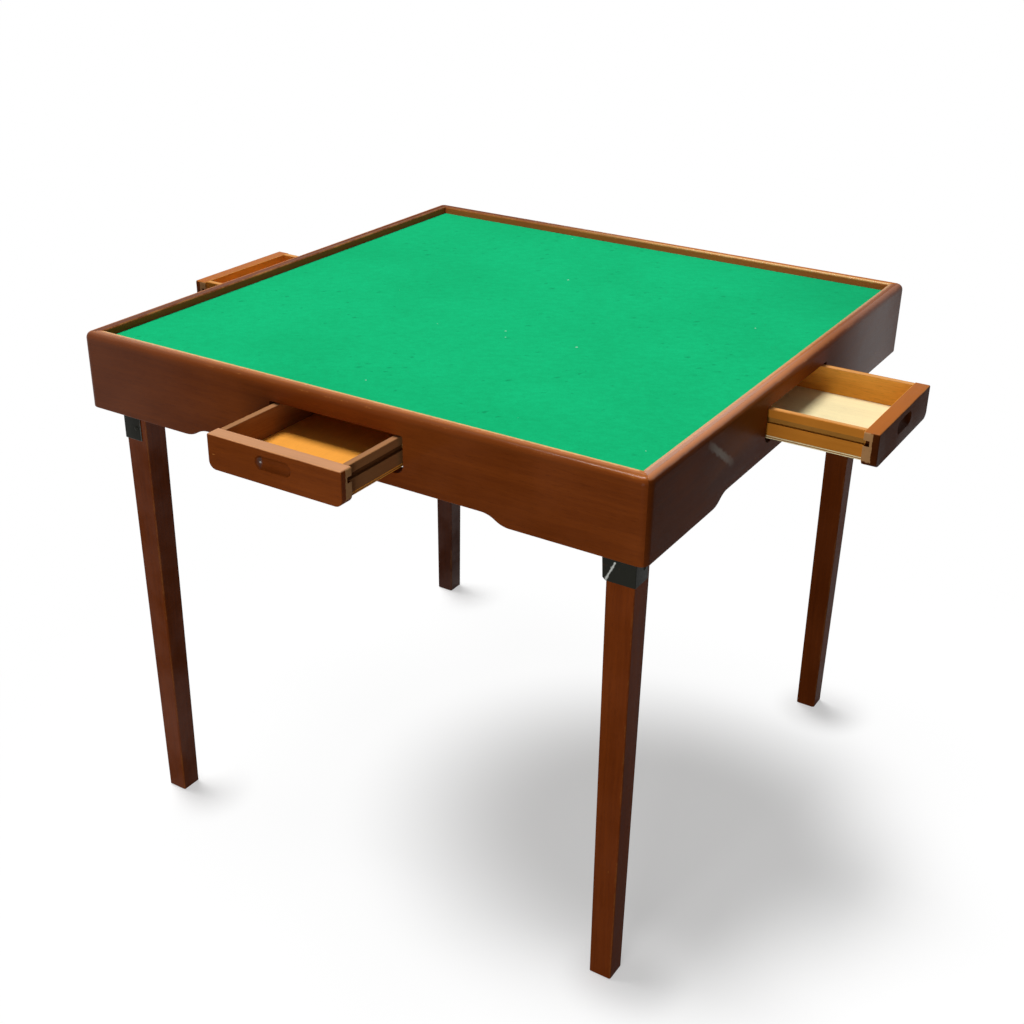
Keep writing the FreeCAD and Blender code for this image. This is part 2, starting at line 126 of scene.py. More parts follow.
class TableColours(bpy.types.PropertyGroup):
    polish_dark: colour("Polish, dark", "Dark streaks of the polished wood", 96, 43, 12)
    polish_light: colour("Polish, light", "Light streaks of the polished wood", 122, 59, 18)
    # Worn edges, painted paler also to stand for highlights on the rounded edges
    polish_wear_and_highlight: colour("Polish, worn", "Polished wood rubbed thin at the edges", 232, 158, 80)
    # Painted sheen: tops of the rim and drawer faces painted paler, as if lit from above; also a painted
    # reflection beside the right drawer
    polish_top_sheen: colour("Polish, top", "Polished wood on top of the rim and the drawer faces", 196, 112, 40)
    # Painted highlight along the rim's inner edge
    crest_highlight_tint: colour("Polish, crest", "Polish rubbed thin along the rim's inner edge", 250, 196, 128)
    # Painted light on the rim's inside, next to the cloth
    wall_light_tint: colour("Polish, wall", "Polished wood on the rim's inside, next to the cloth", 246, 120, 66)
    # Painted shade on stretches of the rim's top
    rim_shade_tint: colour("Polish, dull", "Polished wood on the rim's darker stretches", 112, 54, 18)
    # Painted sheen on the top edge of the front drawer's face
    face_top_sheen: colour("Polish, handled", "Top edge of the drawer face most used", 233, 173, 126)
    # Painted shade in the finger pulls, darkest at their left ends
    pull_shade_tint: colour("Grime", "Dirt in the finger pulls", 44, 20, 9)
    # A pale streak painted on the polish
    pale_streak: colour("Scuff", "Pale scuffs on the polish", 190, 182, 170)
    raw_end: colour("Raw ends", "Bare ends of the drawer faces", 196, 148, 98)
    leg_dark: colour("Leg, dark", "Dark streaks of the legs", 92, 39, 10)
    leg_light: colour("Leg, light", "Light streaks of the legs", 122, 56, 16)
    # Shaded copy of the drawer sides' colours, for the drawer in shadow; its top edges carry wear and a
    # painted sheen
    shaded_drawer_dark: colour("Brown drawer, dark", "Dark streaks of the brown drawer's sides", 130, 87, 52)
    shaded_drawer_light: colour("Brown drawer, light", "Light streaks of the brown drawer's sides", 164, 113, 70)
    shaded_drawer_wear_and_sheen: colour("Brown drawer, top", "Handled top edges of the brown drawer", 178, 128, 88)
    # Lit copy of the drawer sides' colours, for the other drawers; their top edges carry wear and a painted
    # sheen
    lit_drawer_dark: colour("Golden drawer, dark", "Dark streaks of the golden drawers' sides", 214, 144, 56)
    lit_drawer_light: colour("Golden drawer, light", "Light streaks of the golden drawers' sides", 252, 184, 86)
    lit_drawer_wear_and_sheen: colour("Golden drawer, top", "Handled top edges of the golden drawers", 226, 160, 96)
    gold_outside: colour("Golden drawer, outside", "Outside of the golden drawers' sides", 192, 116, 34)
    # Painted shade in the drawer sides' grooves
    groove_shade: colour("Groove", "Dirt in the drawer sides' grooves", 78, 42, 14)
    # Lit copy of the plywood colour, for the drawer bottoms in the light
    plywood_lit: colour("Plywood, pale", "Clean plywood of the drawer bottoms", 255, 240, 188)
    # Shaded copy of the plywood colour: painted shade, deeper and more orange
    plywood_shaded: colour("Plywood, deep", "Darkened plywood of the drawer bottoms", 255, 172, 64)
    plywood_core: colour("Plywood, core", "Middle layer seen on the plywood's edges", 150, 98, 48)
    inner_dark: colour("Inner wood, dark", "Dark streaks of the unseen framing", 140, 96, 52)
    inner_light: colour("Inner wood, light", "Light streaks of the unseen framing", 186, 140, 84)
    baize: colour("Baize", "The cloth", 20, 196, 127)
    baize_shade: colour("Baize, shade", "The cloth where its pile lies the other way", 16, 178, 112)
    lint: colour("Lint", "Lint and dust on the cloth", 205, 228, 214)
    steel_black: colour("Blackened steel", "The shoes' and brackets' black finish", 34, 34, 28)
    steel_bare: colour("Bare steel", "Steel where the finish has rubbed off", 196, 198, 192)
    rust: colour("Rust", "Specks of rust on the steel", 96, 58, 34)
    floor: colour("Floor", "The pale floor", 206, 206, 206)


class StageLook(bpy.types.PropertyGroup):
    key_strength: FloatProperty(
        name="Key light", description="Strength of the soft light overhead", default=3.0, min=0)
    key_spread: FloatProperty(
        name="Key spread", description="Width of the soft light overhead, as an angle",
        default=math.radians(22), min=0, subtype="ANGLE")
    fill_power: FloatProperty(
        name="Fill light", description="Power of the soft light at the front", default=47, min=0,
        unit="POWER")
    sky: FloatProperty(name="Sky", description="Strength of the light from all round", default=0.13, min=0)
    shadow_lift: FloatProperty(
        name="Shadow lift", description="How far the floor's shadow is lightened", default=0.41, min=0)
    lens: FloatProperty(
        name="Lens", description="Focal length of the camera", default=49.496, min=1, unit="CAMERA")
    camera_place: FloatVectorProperty(
        name="Camera", description="Where the camera stands", default=(1.02063, -1.67527, 1.39817),
        subtype="TRANSLATION", unit="LENGTH")
    camera_turn: FloatVectorProperty(
        name="Camera turn", description="How the camera is turned",
        default=tuple(math.radians(angle) for angle in (63.6911, -0.8174, 31.927)), subtype="EULER")


def sizes():
    return bpy.context.scene.table_sizes


def colours():
    return bpy.context.scene.table_colours


# Shader trees

class Tree:
    """Adds nodes to a tree. An input is given as a value or as the socket to link."""

    def __init__(self, tree):
        self.tree = tree

    def node(self, kind, inputs=None, **settings):
        made = self.tree.nodes.new(kind)
        for name, value in settings.items():
            setattr(made, name, value)
        self.feed(made, inputs or {})
        return made

    def feed(self, node, inputs):
        for key, value in inputs.items():
            socket = node.inputs[key]
            if isinstance(value, bpy.types.NodeSocket):
                self.tree.links.new(value, socket)
            elif socket.type == "RGBA" and len(value) == 3:
                socket.default_value = (*value, 1)
            else:
                socket.default_value = value

    def maths(self, operation, first, *others, clamp=False):
        """Two values worked together, or more of them one after another."""
        for other in others:
            first = self.node(
                "ShaderNodeMath", {0: first, 1: other}, operation=operation, use_clamp=clamp).outputs[0]
        return first

    def times(self, *values):
        return self.maths("MULTIPLY", *values)

    def plus(self, *values):
        return self.maths("ADD", *values)

    def minus(self, first, second):
        return self.maths("SUBTRACT", first, second)

    def least(self, *values):
        return self.maths("MINIMUM", *values)

    def most(self, *values):
        return self.maths("MAXIMUM", *values)

    def vector(self, operation, *values):
        made = self.node("ShaderNodeVectorMath", dict(enumerate(values)), operation=operation)
        return made.outputs["Value" if operation in ("LENGTH", "DOT_PRODUCT") else "Vector"]

    def stretch(self, vector, by):
        return self.vector("MULTIPLY", vector, by)

    def shift(self, vector, by):
        return self.vector("ADD", vector, by)

    def offset(self, vector, start):
        return self.vector("SUBTRACT", vector, start)

    def parts(self, vector):
        return self.node("ShaderNodeSeparateXYZ", {"Vector": vector}).outputs

    def upward(self, value):
        return self.node("ShaderNodeCombineXYZ", {"Z": value}).outputs[0]

    def place(self):
        """Where on its piece a point lies."""
        return self.node("ShaderNodeTexCoord").outputs["Object"]

    def turned(self, place, rotation):
        return self.node("ShaderNodeMapping", {"Vector": place, "Rotation": rotation}).outputs[0]

    def noise(self, vector, scale, detail=2.0, roughness=0.5, distortion=0.0):
        return self.node("ShaderNodeTexNoise", {
            "Vector": vector, "Scale": scale, "Detail": detail, "Roughness": roughness,
            "Distortion": distortion}).outputs["Fac"]

    def cells(self, vector, scale=1.0, **settings):
        return self.node("ShaderNodeTexVoronoi", {"Vector": vector, "Scale": scale}, **settings).outputs

    def between(self, value, low, high, to_low=0.0, to_high=1.0, smooth=True):
        return self.node("ShaderNodeMapRange", {
            "Value": value, "From Min": low, "From Max": high, "To Min": to_low, "To Max": to_high},
            interpolation_type="SMOOTHSTEP" if smooth else "LINEAR").outputs["Result"]

    def mix(self, factor, first, second, blend="MIX"):
        return self.node("ShaderNodeMix", {"Factor": factor, 6: first, 7: second}, data_type="RGBA",
                         blend_type=blend).outputs[2]

    def group(self, tree, inputs):
        return self.node("ShaderNodeGroup", inputs, node_tree=tree).outputs

    def paint(self, inputs, height, strength, depth):
        """Feeds the material's shader and gives it a relief of that height, strength and depth."""
        bump = self.node("ShaderNodeBump", {"Height": height, "Strength": strength, "Distance": depth})
        self.feed(self.tree.nodes["Principled BSDF"], {**inputs, "Normal": bump.outputs["Normal"]})


ORIGIN = (0.0, 0.0, 0.0)
UNIT = (1.0, 1.0, 1.0)


def shader_group(name, inputs, wire):
    """A node group, built when first asked for. Wire adds its nodes and gives its masks by name."""
    if name in bpy.data.node_groups:
        return bpy.data.node_groups[name]
    group = bpy.data.node_groups.new(name, "ShaderNodeTree")
    for socket, default in inputs.items():
        kind = "NodeSocketFloat" if isinstance(default, float) else "NodeSocketVector"
        group.interface.new_socket(socket, in_out="INPUT", socket_type=kind).default_value = default
    tree = Tree(group)
    masks = wire(tree, group.nodes.new("NodeGroupInput").outputs)
    for socket in masks:
        group.interface.new_socket(socket, in_out="OUTPUT", socket_type="NodeSocketFloat")
    tree.node("NodeGroupOutput", masks)
    return group


def wood_grain():
    """Grain along X: fine streaks, a broad figure and short open pores."""
    def wire(tree, given):
        place = tree.shift(given["Vector"], tree.stretch(given["Seed"], (3.1, 1.7, 2.3)))
        figure = tree.noise(tree.stretch(place, (2.2, 26, 26)), 1.0, 3.0, 0.5, 0.6)
        drift = tree.stretch(figure, (0, 5, 5))
        streaks = tree.noise(tree.shift(tree.stretch(place, (7, 230, 230)), drift), 1.0, 5.0, 0.6, 0.3)
        pores = tree.noise(tree.stretch(place, (85, 2300, 2300)), 1.0, 1.0)
        return {"Streaks": tree.between(streaks, 0.3, 0.7), "Figure": tree.between(figure, 0.3, 0.7),
                "Pores": tree.between(pores, 0.6, 0.72)}
    return shader_group("Wood grain", {"Vector": ORIGIN, "Seed": 0.0}, wire)


def edge_wear():
    """Wear near the edges of a boxed piece, broken up by noise, and a mask of its top face for a painted
    sheen and gloss.
    """
    def wire(tree, given):
        offset = tree.offset(given["Vector"], given["Centre"])
        half, up = tree.parts(given["Half Size"]), tree.parts(offset)["Z"]
        height = tree.maths("DIVIDE", tree.plus(up, half["Z"]), tree.times(half["Z"], 2))
        slim = tree.between(height, 0.0, 0.87, given["Foot Share"], 1.0, smooth=False)
        away = tree.parts(tree.vector("ABSOLUTE", offset))
        x, y = (tree.minus(tree.times(half[axis], slim), away[axis]) for axis in "XY")
        z = tree.minus(half["Z"], away["Z"])
        second = tree.most(tree.least(x, y), tree.least(tree.most(x, y), z))
        coarse = tree.noise(given["Vector"], 24, 4.0, 0.6)
        fine = tree.noise(given["Vector"], 260, 2.0, 0.6)
        reach = tree.times(given["Width"], tree.between(coarse, 0.3, 0.75, 0.25, 1.5),
                           tree.between(fine, 0.2, 0.8, 0.6, 1.3))
        below = tree.minus(half["Z"], up)
        near_top = tree.maths("LESS_THAN", below, given["Edge Reach"])
        depth = tree.times(given["Top Depth"], tree.between(coarse, 0.3, 0.7, 0.75, 1.2))
        return {"Edges": tree.times(tree.between(second, reach, 0.0), near_top),
                "Top": tree.between(below, depth, 0.0)}
    return shader_group("Edge wear", {
        "Vector": ORIGIN, "Centre": ORIGIN, "Half Size": UNIT, "Foot Share": 1.0, "Width": 0.003,
        "Top Depth": 0.002, "Edge Reach": 10.0}, wire)


def handling():
    """What years of use leave: soft haze, small nicks along X, and specks of dust."""
    def wire(tree, given):
        place = tree.shift(given["Vector"], tree.stretch(given["Seed"], (1.9, 2.7, 1.3)))
        marks, dots = tree.cells(tree.stretch(place, (22, 75, 75))), tree.cells(place, 62.0)
        mark = tree.between(tree.parts(marks["Color"])["X"], 0.82, 1.0, 0.0, 0.09, smooth=False)
        dot = tree.between(tree.parts(dots["Color"])["X"], 0.96, 1.0, 0.0, 0.12, smooth=False)
        return {"Haze": tree.between(tree.noise(place, 9, 4.0, 0.55), 0.3, 0.7),
                "Nicks": tree.between(marks["Distance"], mark, 0.0),
                "Specks": tree.maths("LESS_THAN", dots["Distance"], dot)}
    return shader_group("Handling", {"Vector": ORIGIN, "Seed": 0.0}, wire)


def patch_mask():
    """1 inside a box whose border is softened and broken up by noise."""
    def wire(tree, given):
        torn = tree.node("ShaderNodeTexNoise", {"Vector": given["Vector"], "Scale": 190.0, "Detail": 3.0})
        ragged = tree.stretch(tree.offset(torn.outputs["Color"], (0.5, 0.5, 0.5)), given["Ragged"])
        offset = tree.shift(tree.offset(given["Vector"], given["Centre"]), ragged)
        inside = tree.offset(given["Half Size"], tree.vector("ABSOLUTE", offset))
        share = tree.parts(tree.vector("DIVIDE", inside, given["Soft"]))
        return {"Mask": tree.between(tree.least(share["X"], share["Y"], share["Z"]), 0.0, 1.0)}
    return shader_group("Patch", {
        "Vector": ORIGIN, "Centre": ORIGIN, "Half Size": UNIT, "Soft": UNIT, "Ragged": 0.0}, wire)


def rubbed_line():
    """Wear along a straight line between two points, broken up by noise and faded at its ends."""
    def wire(tree, given):
        run = tree.offset(given["End"], given["Start"])
        offset = tree.offset(given["Vector"], given["Start"])
        along = tree.maths("DIVIDE", tree.vector("DOT_PRODUCT", offset, run),
                           tree.vector("DOT_PRODUCT", run, run), clamp=True)
        away = tree.vector("LENGTH", tree.offset(offset, tree.stretch(run, along)))
        uneven = tree.between(tree.noise(given["Vector"], 150, 3.0, 0.6), 0.3, 0.7, -0.6, 0.2)
        reach = tree.times(given["Width"], tree.plus(1.0, tree.times(uneven, given["Ragged"])))
        line = tree.between(away, reach, tree.times(reach, 0.2))
        middle = tree.times(along, tree.minus(1.0, along), 4.0)
        ends = tree.between(given["Fade"], 0.0, 1.0, 1.0, middle, smooth=False)
        return {"Mask": tree.times(line, ends)}
    return shader_group("Rubbed line", {
        "Vector": ORIGIN, "Start": ORIGIN, "End": UNIT, "Width": 0.003, "Ragged": 1.0, "Fade": 0.0}, wire)


# Materials

# How the grain's axis, X, Y or Z, is turned to X
TURN_TO_X = ((0, 0, 0), (0, 0, -math.pi / 2), (0, math.pi / 2, 0))
# How a pale streak looks, and how wide the bare line along a shoe's bend is
PALE_STREAK = {"Width": 0.0075, "Ragged": 0.5, "Fade": 1.0}
BEND_WIDTH = 0.0024


def new_material(name):
    """A named material with one Principled shader, its tree, and the place on its piece."""
    material = bpy.data.materials.new(name)
    material.use_nodes = True
    tree = Tree(material.node_tree)
    return material, tree, tree.place()


def dim(tint, share):
    return tuple(share * value for value in tint)


def boxed(node):
    """Centre and half size of a CAD node's box."""
    low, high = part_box(node)
    return (low + high) / 2, (high - low) / 2


class Patch(NamedTuple):
    """A boxed area of a piece with a finish of its own: a colour laid over it, and polish."""
    area: tuple
    colour: tuple = (0, 0, 0)
    strength: float = 0.0
    coat: float = 0.0
    soft: tuple = (0.001,) * 3
    ragged: float = 0.0


def area_on(node, side, along, depth, height):
    """Centre and half size of an area, from spans along a side, in from a piece's face, and up."""
    centre, half = boxed(node)
    out = OUTWARD[side]
    run = Vector((-out.y, out.x, 0))
    face = centre.dot(out) + abs(half.dot(out))
    first, last = (run * along[i] + out * (face - depth[i]) + Vector((0, 0, height[i])) for i in (0, 1))
    return (first + last) / 2, Vector([abs(value) / 2 for value in last - first])


def soft_on(side, along, depth, height):
    """How soft an area's border is along a side, in from a piece's face, and up."""
    return (along, depth, height) if OUTWARD[side].x == 0 else (depth, along, height)


def wood(name, node, tints, seed, rough=0.4, edges=0.6, top=0.0, width=0.003, top_depth=0.002,
         edge_reach=10.0, foot=1.0, coat=0.0, polish=0.0, shade=(1.0, 1.0), patches=(), pale_streaks=()):
    """Wood whose grain runs along the piece, paler on its rubbed edges and with a painted sheen on its top.

    The tints are its dark and light colours, its worn colour, which also paints highlights on its edges, and
    the colour of the painted sheen on its top; shade is painted shade, how bright its two ends are.
    Edges is how strongly its edges have worn and top how strong the painted sheen on its top is, over a
    width, a depth and a reach below the top. Foot is its width at the foot as a share of the top's, coat and
    polish are the gloss of its top and of all of it, and each pale streak is the two ends of a pale mark.
    """
    dark, light, wear_and_sheen, top_sheen = tints
    centre, half = boxed(node)
    grain = max(range(3), key=lambda axis: half[axis])
    material, tree, place = new_material(name)
    along = tree.turned(place, TURN_TO_X[grain])
    lines = tree.group(wood_grain(), {"Vector": along, "Seed": seed})
    wear = tree.group(edge_wear(), {
        "Vector": place, "Centre": centre, "Half Size": half, "Foot Share": foot, "Width": width,
        "Top Depth": top_depth, "Edge Reach": edge_reach})
    use = tree.group(handling(), {"Vector": along, "Seed": seed})
    streaks, pores, haze = lines["Streaks"], lines["Pores"], use["Haze"]
    tone = tree.plus(tree.times(streaks, 0.3), tree.times(lines["Figure"], 0.4), tree.times(haze, 0.3))
    base = tree.mix(tone, dark, light)
    base = tree.mix(tree.times(pores, 0.4), base, dim(dark, 0.4))
    # Painted shade: the piece darkens from one end to the other
    if shade != (1.0, 1.0):
        run = tree.parts(place)["XYZ"[grain]]
        end_shade = tree.between(run, centre[grain] - half[grain], centre[grain] + half[grain], *shade)
        base = tree.mix(1.0, base, end_shade, "MULTIPLY")
    # Painted sheen: the top face takes a paler colour, as if lit from above
    base = tree.mix(tree.times(wear["Top"], top), base, tree.mix(tone, dim(top_sheen, 0.8), top_sheen))
    sheen = tree.plus(tree.times(wear["Top"], coat), tree.times(haze, polish))
    for patch in patches:
        mask = tree.group(patch_mask(), {
            "Vector": place, "Centre": patch.area[0], "Half Size": patch.area[1], "Soft": patch.soft,
            "Ragged": patch.ragged})["Mask"]
        if patch.strength:
            grained = tree.mix(tone, dim(patch.colour, 0.8), patch.colour)
            base = tree.mix(tree.times(mask, patch.strength), base, grained)
        if patch.coat:
            sheen = tree.plus(sheen, tree.times(mask, patch.coat))
    # Worn edges, painted paler: wear, and a painted highlight along the rounded edges
    rubbed = tree.times(wear["Edges"], edges)
    base = tree.mix(rubbed, base, tree.mix(tone, dim(wear_and_sheen, 0.75), wear_and_sheen))
    base = tree.mix(tree.times(use["Nicks"], 0.4), base, wear_and_sheen)
    # Pale streaks painted over the polish
    for start, end in pale_streaks:
        mark = tree.group(rubbed_line(), {"Vector": place, "Start": start, "End": end, **PALE_STREAK})["Mask"]
        base = tree.mix(tree.times(mark, 0.6), base, colours().pale_streak)
    dulled = tree.plus(tree.between(haze, 0, 1, rough - 0.06, rough + 0.1), tree.times(rubbed, 0.06),
                       tree.times(streaks, 0.05))
    height = tree.minus(tree.times(streaks, 0.4), tree.plus(tree.times(pores, 0.6), use["Nicks"]))
    tree.paint({
        "Base Color": base, "Roughness": dulled, "Specular IOR Level": 0.01, "Coat Weight": sheen,
        "Coat Roughness": 0.16}, height, strength=0.25, depth=0.0003)
    return material


def plywood(name, node, face, seed):
    """Thin plywood: a grained veneer, with the darker core showing round its edges."""
    core_tint = colours().plywood_core
    centre, half = boxed(node)
    material, tree, place = new_material(name)
    along = tree.turned(place, TURN_TO_X[0 if half.x >= half.y else 1])
    lines = tree.group(wood_grain(), {"Vector": along, "Seed": seed})
    haze = tree.group(handling(), {"Vector": place, "Seed": seed})["Haze"]
    tone = tree.plus(tree.times(lines["Streaks"], 0.35), tree.times(lines["Figure"], 0.65))
    base = tree.mix(tone, dim(face, 0.9), face)
    up = tree.parts(tree.vector("ABSOLUTE", tree.offset(place, centre)))["Z"]
    core = tree.between(up, half.z * 0.42, half.z * 0.34)
    for share in (tree.times(lines["Pores"], 0.2), tree.times(haze, 0.06), core):
        base = tree.mix(share, base, core_tint)
    height = tree.minus(tree.times(lines["Streaks"], 0.5), lines["Pores"])
    tree.paint({
        "Base Color": base, "Roughness": tree.between(haze, 0, 1, 0.55, 0.72), "Specular IOR Level": 0.2},
        height, strength=0.3, depth=0.0003)
    return material


def felted():
    """Baize: a matted pile, brushed unevenly, with dark flecks in it, lint on it and painted shade towards
    one corner.
    """
    tint = colours()
    material, tree, place = new_material("baize_cloth")
    turned = tree.turned(place, (0, 0, math.radians(-32)))
    specks = tree.group(handling(), {"Vector": turned, "Seed": 4.0})["Specks"]
    brushed = tree.between(tree.noise(place, 5, 5.0, 0.6), 0.3, 0.7)
    pile = tree.noise(tree.stretch(place, (1.0, 1.3, 1.0)), 620, 4.0, 0.7, 0.8)
    matted = tree.between(tree.noise(tree.stretch(turned, (70, 96, 96)), 1.0, 5.0, 0.7), 0.3, 0.7)
    tone = tree.plus(tree.times(brushed, 0.5), tree.times(matted, 0.5))
    base = tree.mix(tone, tint.baize_shade, tint.baize)
    base = tree.mix(tree.between(pile, 0.62, 0.3, 0.0, 0.35), base, dim(tint.baize_shade, 0.6))
    base = tree.mix(tree.times(specks, 0.55), base, tint.lint)
    spots = tree.shift(tree.stretch(turned, (46, 74, 74)), tree.stretch(matted, (0.3, 0.3, 0.0)))
    cells = tree.cells(spots, voronoi_dimensions="2D")
    reach = tree.between(tree.parts(cells["Color"])["Y"], 0.76, 1.0, 0.0, 0.27, smooth=False)
    crowded = tree.between(tree.noise(place, 4, 2.0), 0.4, 0.6, 0.45, 1.0)
    flecks = tree.times(tree.between(cells["Distance"], reach, 0.0), crowded, 0.65)
    base = tree.mix(flecks, base, dim(tint.baize_shade, 0.4))
    # Painted shade: the cloth darkens towards its +X +Y corner
    corner_shade = tree.between(tree.vector("DOT_PRODUCT", place, (0.7, 0.7, 0.0)), 0.25, 0.6, 1.0, 0.84)
    height = tree.plus(tree.times(pile, 0.7), tree.times(matted, 0.5))
    tree.paint({
        "Base Color": tree.mix(1.0, base, corner_shade, "MULTIPLY"),
        "Roughness": tree.between(pile, 0.3, 0.7, 0.86, 0.98), "Specular IOR Level": 0.02,
        "Sheen Weight": 0.03, "Sheen Roughness": 0.5, "Sheen Tint": (0.6, 1.0, 0.8)},
        height, strength=0.35, depth=0.0006)
    return material


def worn_steel(name, node, seed, black=True, width=0.0012, bend=None):
    """Steel that is bright, or black and rubbed bare on its edges and along a bend, with a little rust."""
    tint = colours()
    centre, half = boxed(node)
    material, tree, place = new_material(name)
    use = tree.group(handling(), {"Vector": place, "Seed": seed})
    grit = tree.noise(place, 420, 3.0, 0.6)
    base = tree.mix(grit, dim(tint.steel_bare, 0.6), tint.steel_bare)
    if black:
        wear = tree.group(edge_wear(), {"Vector": place, "Centre": centre, "Half Size": half, "Width": width})
        bare = tree.times(tree.most(wear["Edges"], use["Nicks"]), 0.3)
        if bend:
            rubbed = tree.group(rubbed_line(), {
                "Vector": place, "Start": bend[0], "End": bend[1], "Width": BEND_WIDTH})["Mask"]
            bare = tree.most(bare, tree.times(rubbed, 0.8))
        finish = tree.mix(use["Haze"], dim(tint.steel_black, 0.7), tint.steel_black)
        base = tree.mix(bare, finish, base)
    else:
        bare = tree.between(use["Haze"], 0, 1, 0.8, 1.0)
    rusty = tree.times(tree.between(tree.noise(place, 55, 5.0, 0.65), 0.6, 0.7), 0.6)
    tree.paint({
        "Base Color": tree.mix(rusty, base, tint.rust),
        "Metallic": tree.maths("SUBTRACT", bare, rusty, clamp=True),
        "Roughness": tree.plus(tree.between(grit, 0.3, 0.7, 0.34, 0.5), tree.times(rusty, 0.4)),
        "Specular IOR Level": 0.06},
        height=tree.plus(grit, tree.times(rusty, 0.6)), strength=0.2, depth=0.0002)
    return material


# Pieces

def linked(name, data):
    """A new object in the scene."""
    made = bpy.data.objects.new(name, data)
    bpy.context.scene.collection.objects.link(made)
    return made


def give(mesh, material):
    """Makes a material a mesh's only one."""
    mesh.materials.clear()
    mesh.materials.append(material)


def repaint(node, material):
    """Gives a CAD node, whose shape stays, its finish."""
    give(frame["nodes"][node].data, material)


def piece(name, mesh, material, body, nodes):
    """Links a finished mesh as a piece that rides on a body and stands for some CAD nodes."""
    give(mesh, material)
    made = linked(name, mesh)
    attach(made, body)
    if nodes:
        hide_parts(*nodes)
    return made


def joined(node):
    """A working copy of a CAD node's loose triangles, with doubles merged."""
    work = bmesh.new()
    work.from_mesh(frame["nodes"][node].data)
    bmesh.ops.remove_doubles(work, verts=work.verts, dist=MERGE)
    return work


def mesh_of(work, name):
    """A mesh of a working copy, which is freed."""
    mesh = bpy.data.meshes.new(name)
    work.to_mesh(mesh)
    work.free()
    return mesh


def smooth(mesh):
    """Shades a mesh smooth, apart from its sharp edges."""
    mesh.shade_smooth()
    mesh.set_sharp_from_angle(angle=SHARP)
    return mesh


def merged(node):
    """A clean mesh of a CAD node: doubles merged, and flat faces joined."""
    work = joined(node)
    bmesh.ops.dissolve_limit(work, angle_limit=FLAT, verts=work.verts, edges=work.edges)
    mesh = mesh_of(work, node)
    for spare in ("custom_normal", "sharp_edge", "sharp_face"):
        if spare in mesh.attributes:
            mesh.attributes.remove(mesh.attributes[spare])
    mesh.shade_smooth()
    return mesh


def plain_mesh(work, name):
    """What the modifiers of a working object make, as a mesh of its own. The object is removed."""
    bpy.context.view_layer.update()
    graph = bpy.context.evaluated_depsgraph_get()
    mesh = bpy.data.meshes.new_from_object(work.evaluated_get(graph), depsgraph=graph)
    mesh.name = name
    old = work.data
    bpy.data.objects.remove(work)
    bpy.data.meshes.remove(old)
    return mesh


def soften(node, edge, material, body):
    """Puts a piece with its sharp edges rounded in place of a CAD board."""
    work = linked(node + "_work", merged(node))
    bevel = work.modifiers.new("Soft edges", "BEVEL")
    bevel.width = edge
    bevel.segments = 2
    bevel.limit_method = "ANGLE"
    bevel.angle_limit = SHARP
    bevel.use_clamp_overlap = False
    bevel.harden_normals = True
    piece(node + "_board", plain_mesh(work, node), material, body, [node])


def bent(node, radius):
    """A shoe's mesh with the outer edge of its fold round the leg's corner rounded."""
    mesh = merged(node)
    work = bmesh.new()
    work.from_mesh(mesh)
    low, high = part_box(node)
    # The fold is upright and long, between two upright faces that are much larger than the rounding
    least_run, least_area = 10 * radius, 4 * radius * (high.z - low.z)
    folds = [edge for edge in work.edges if edge.is_convex and edge.calc_face_angle(0) > SHARP
             and abs(edge.verts[0].co.z - edge.verts[1].co.z) > least_run
             and all(abs(face.normal.z) < 0.01 and face.calc_area() > least_area
                     for face in edge.link_faces)]
    if not folds:
        raise RuntimeError(f"{node} has no fold to round")
    bmesh.ops.bevel(work, geom=folds, offset=radius, segments=4, profile=0.5, affect="EDGES",
                    clamp_overlap=True)
    work.to_mesh(mesh)
    work.free()
    return smooth(mesh)


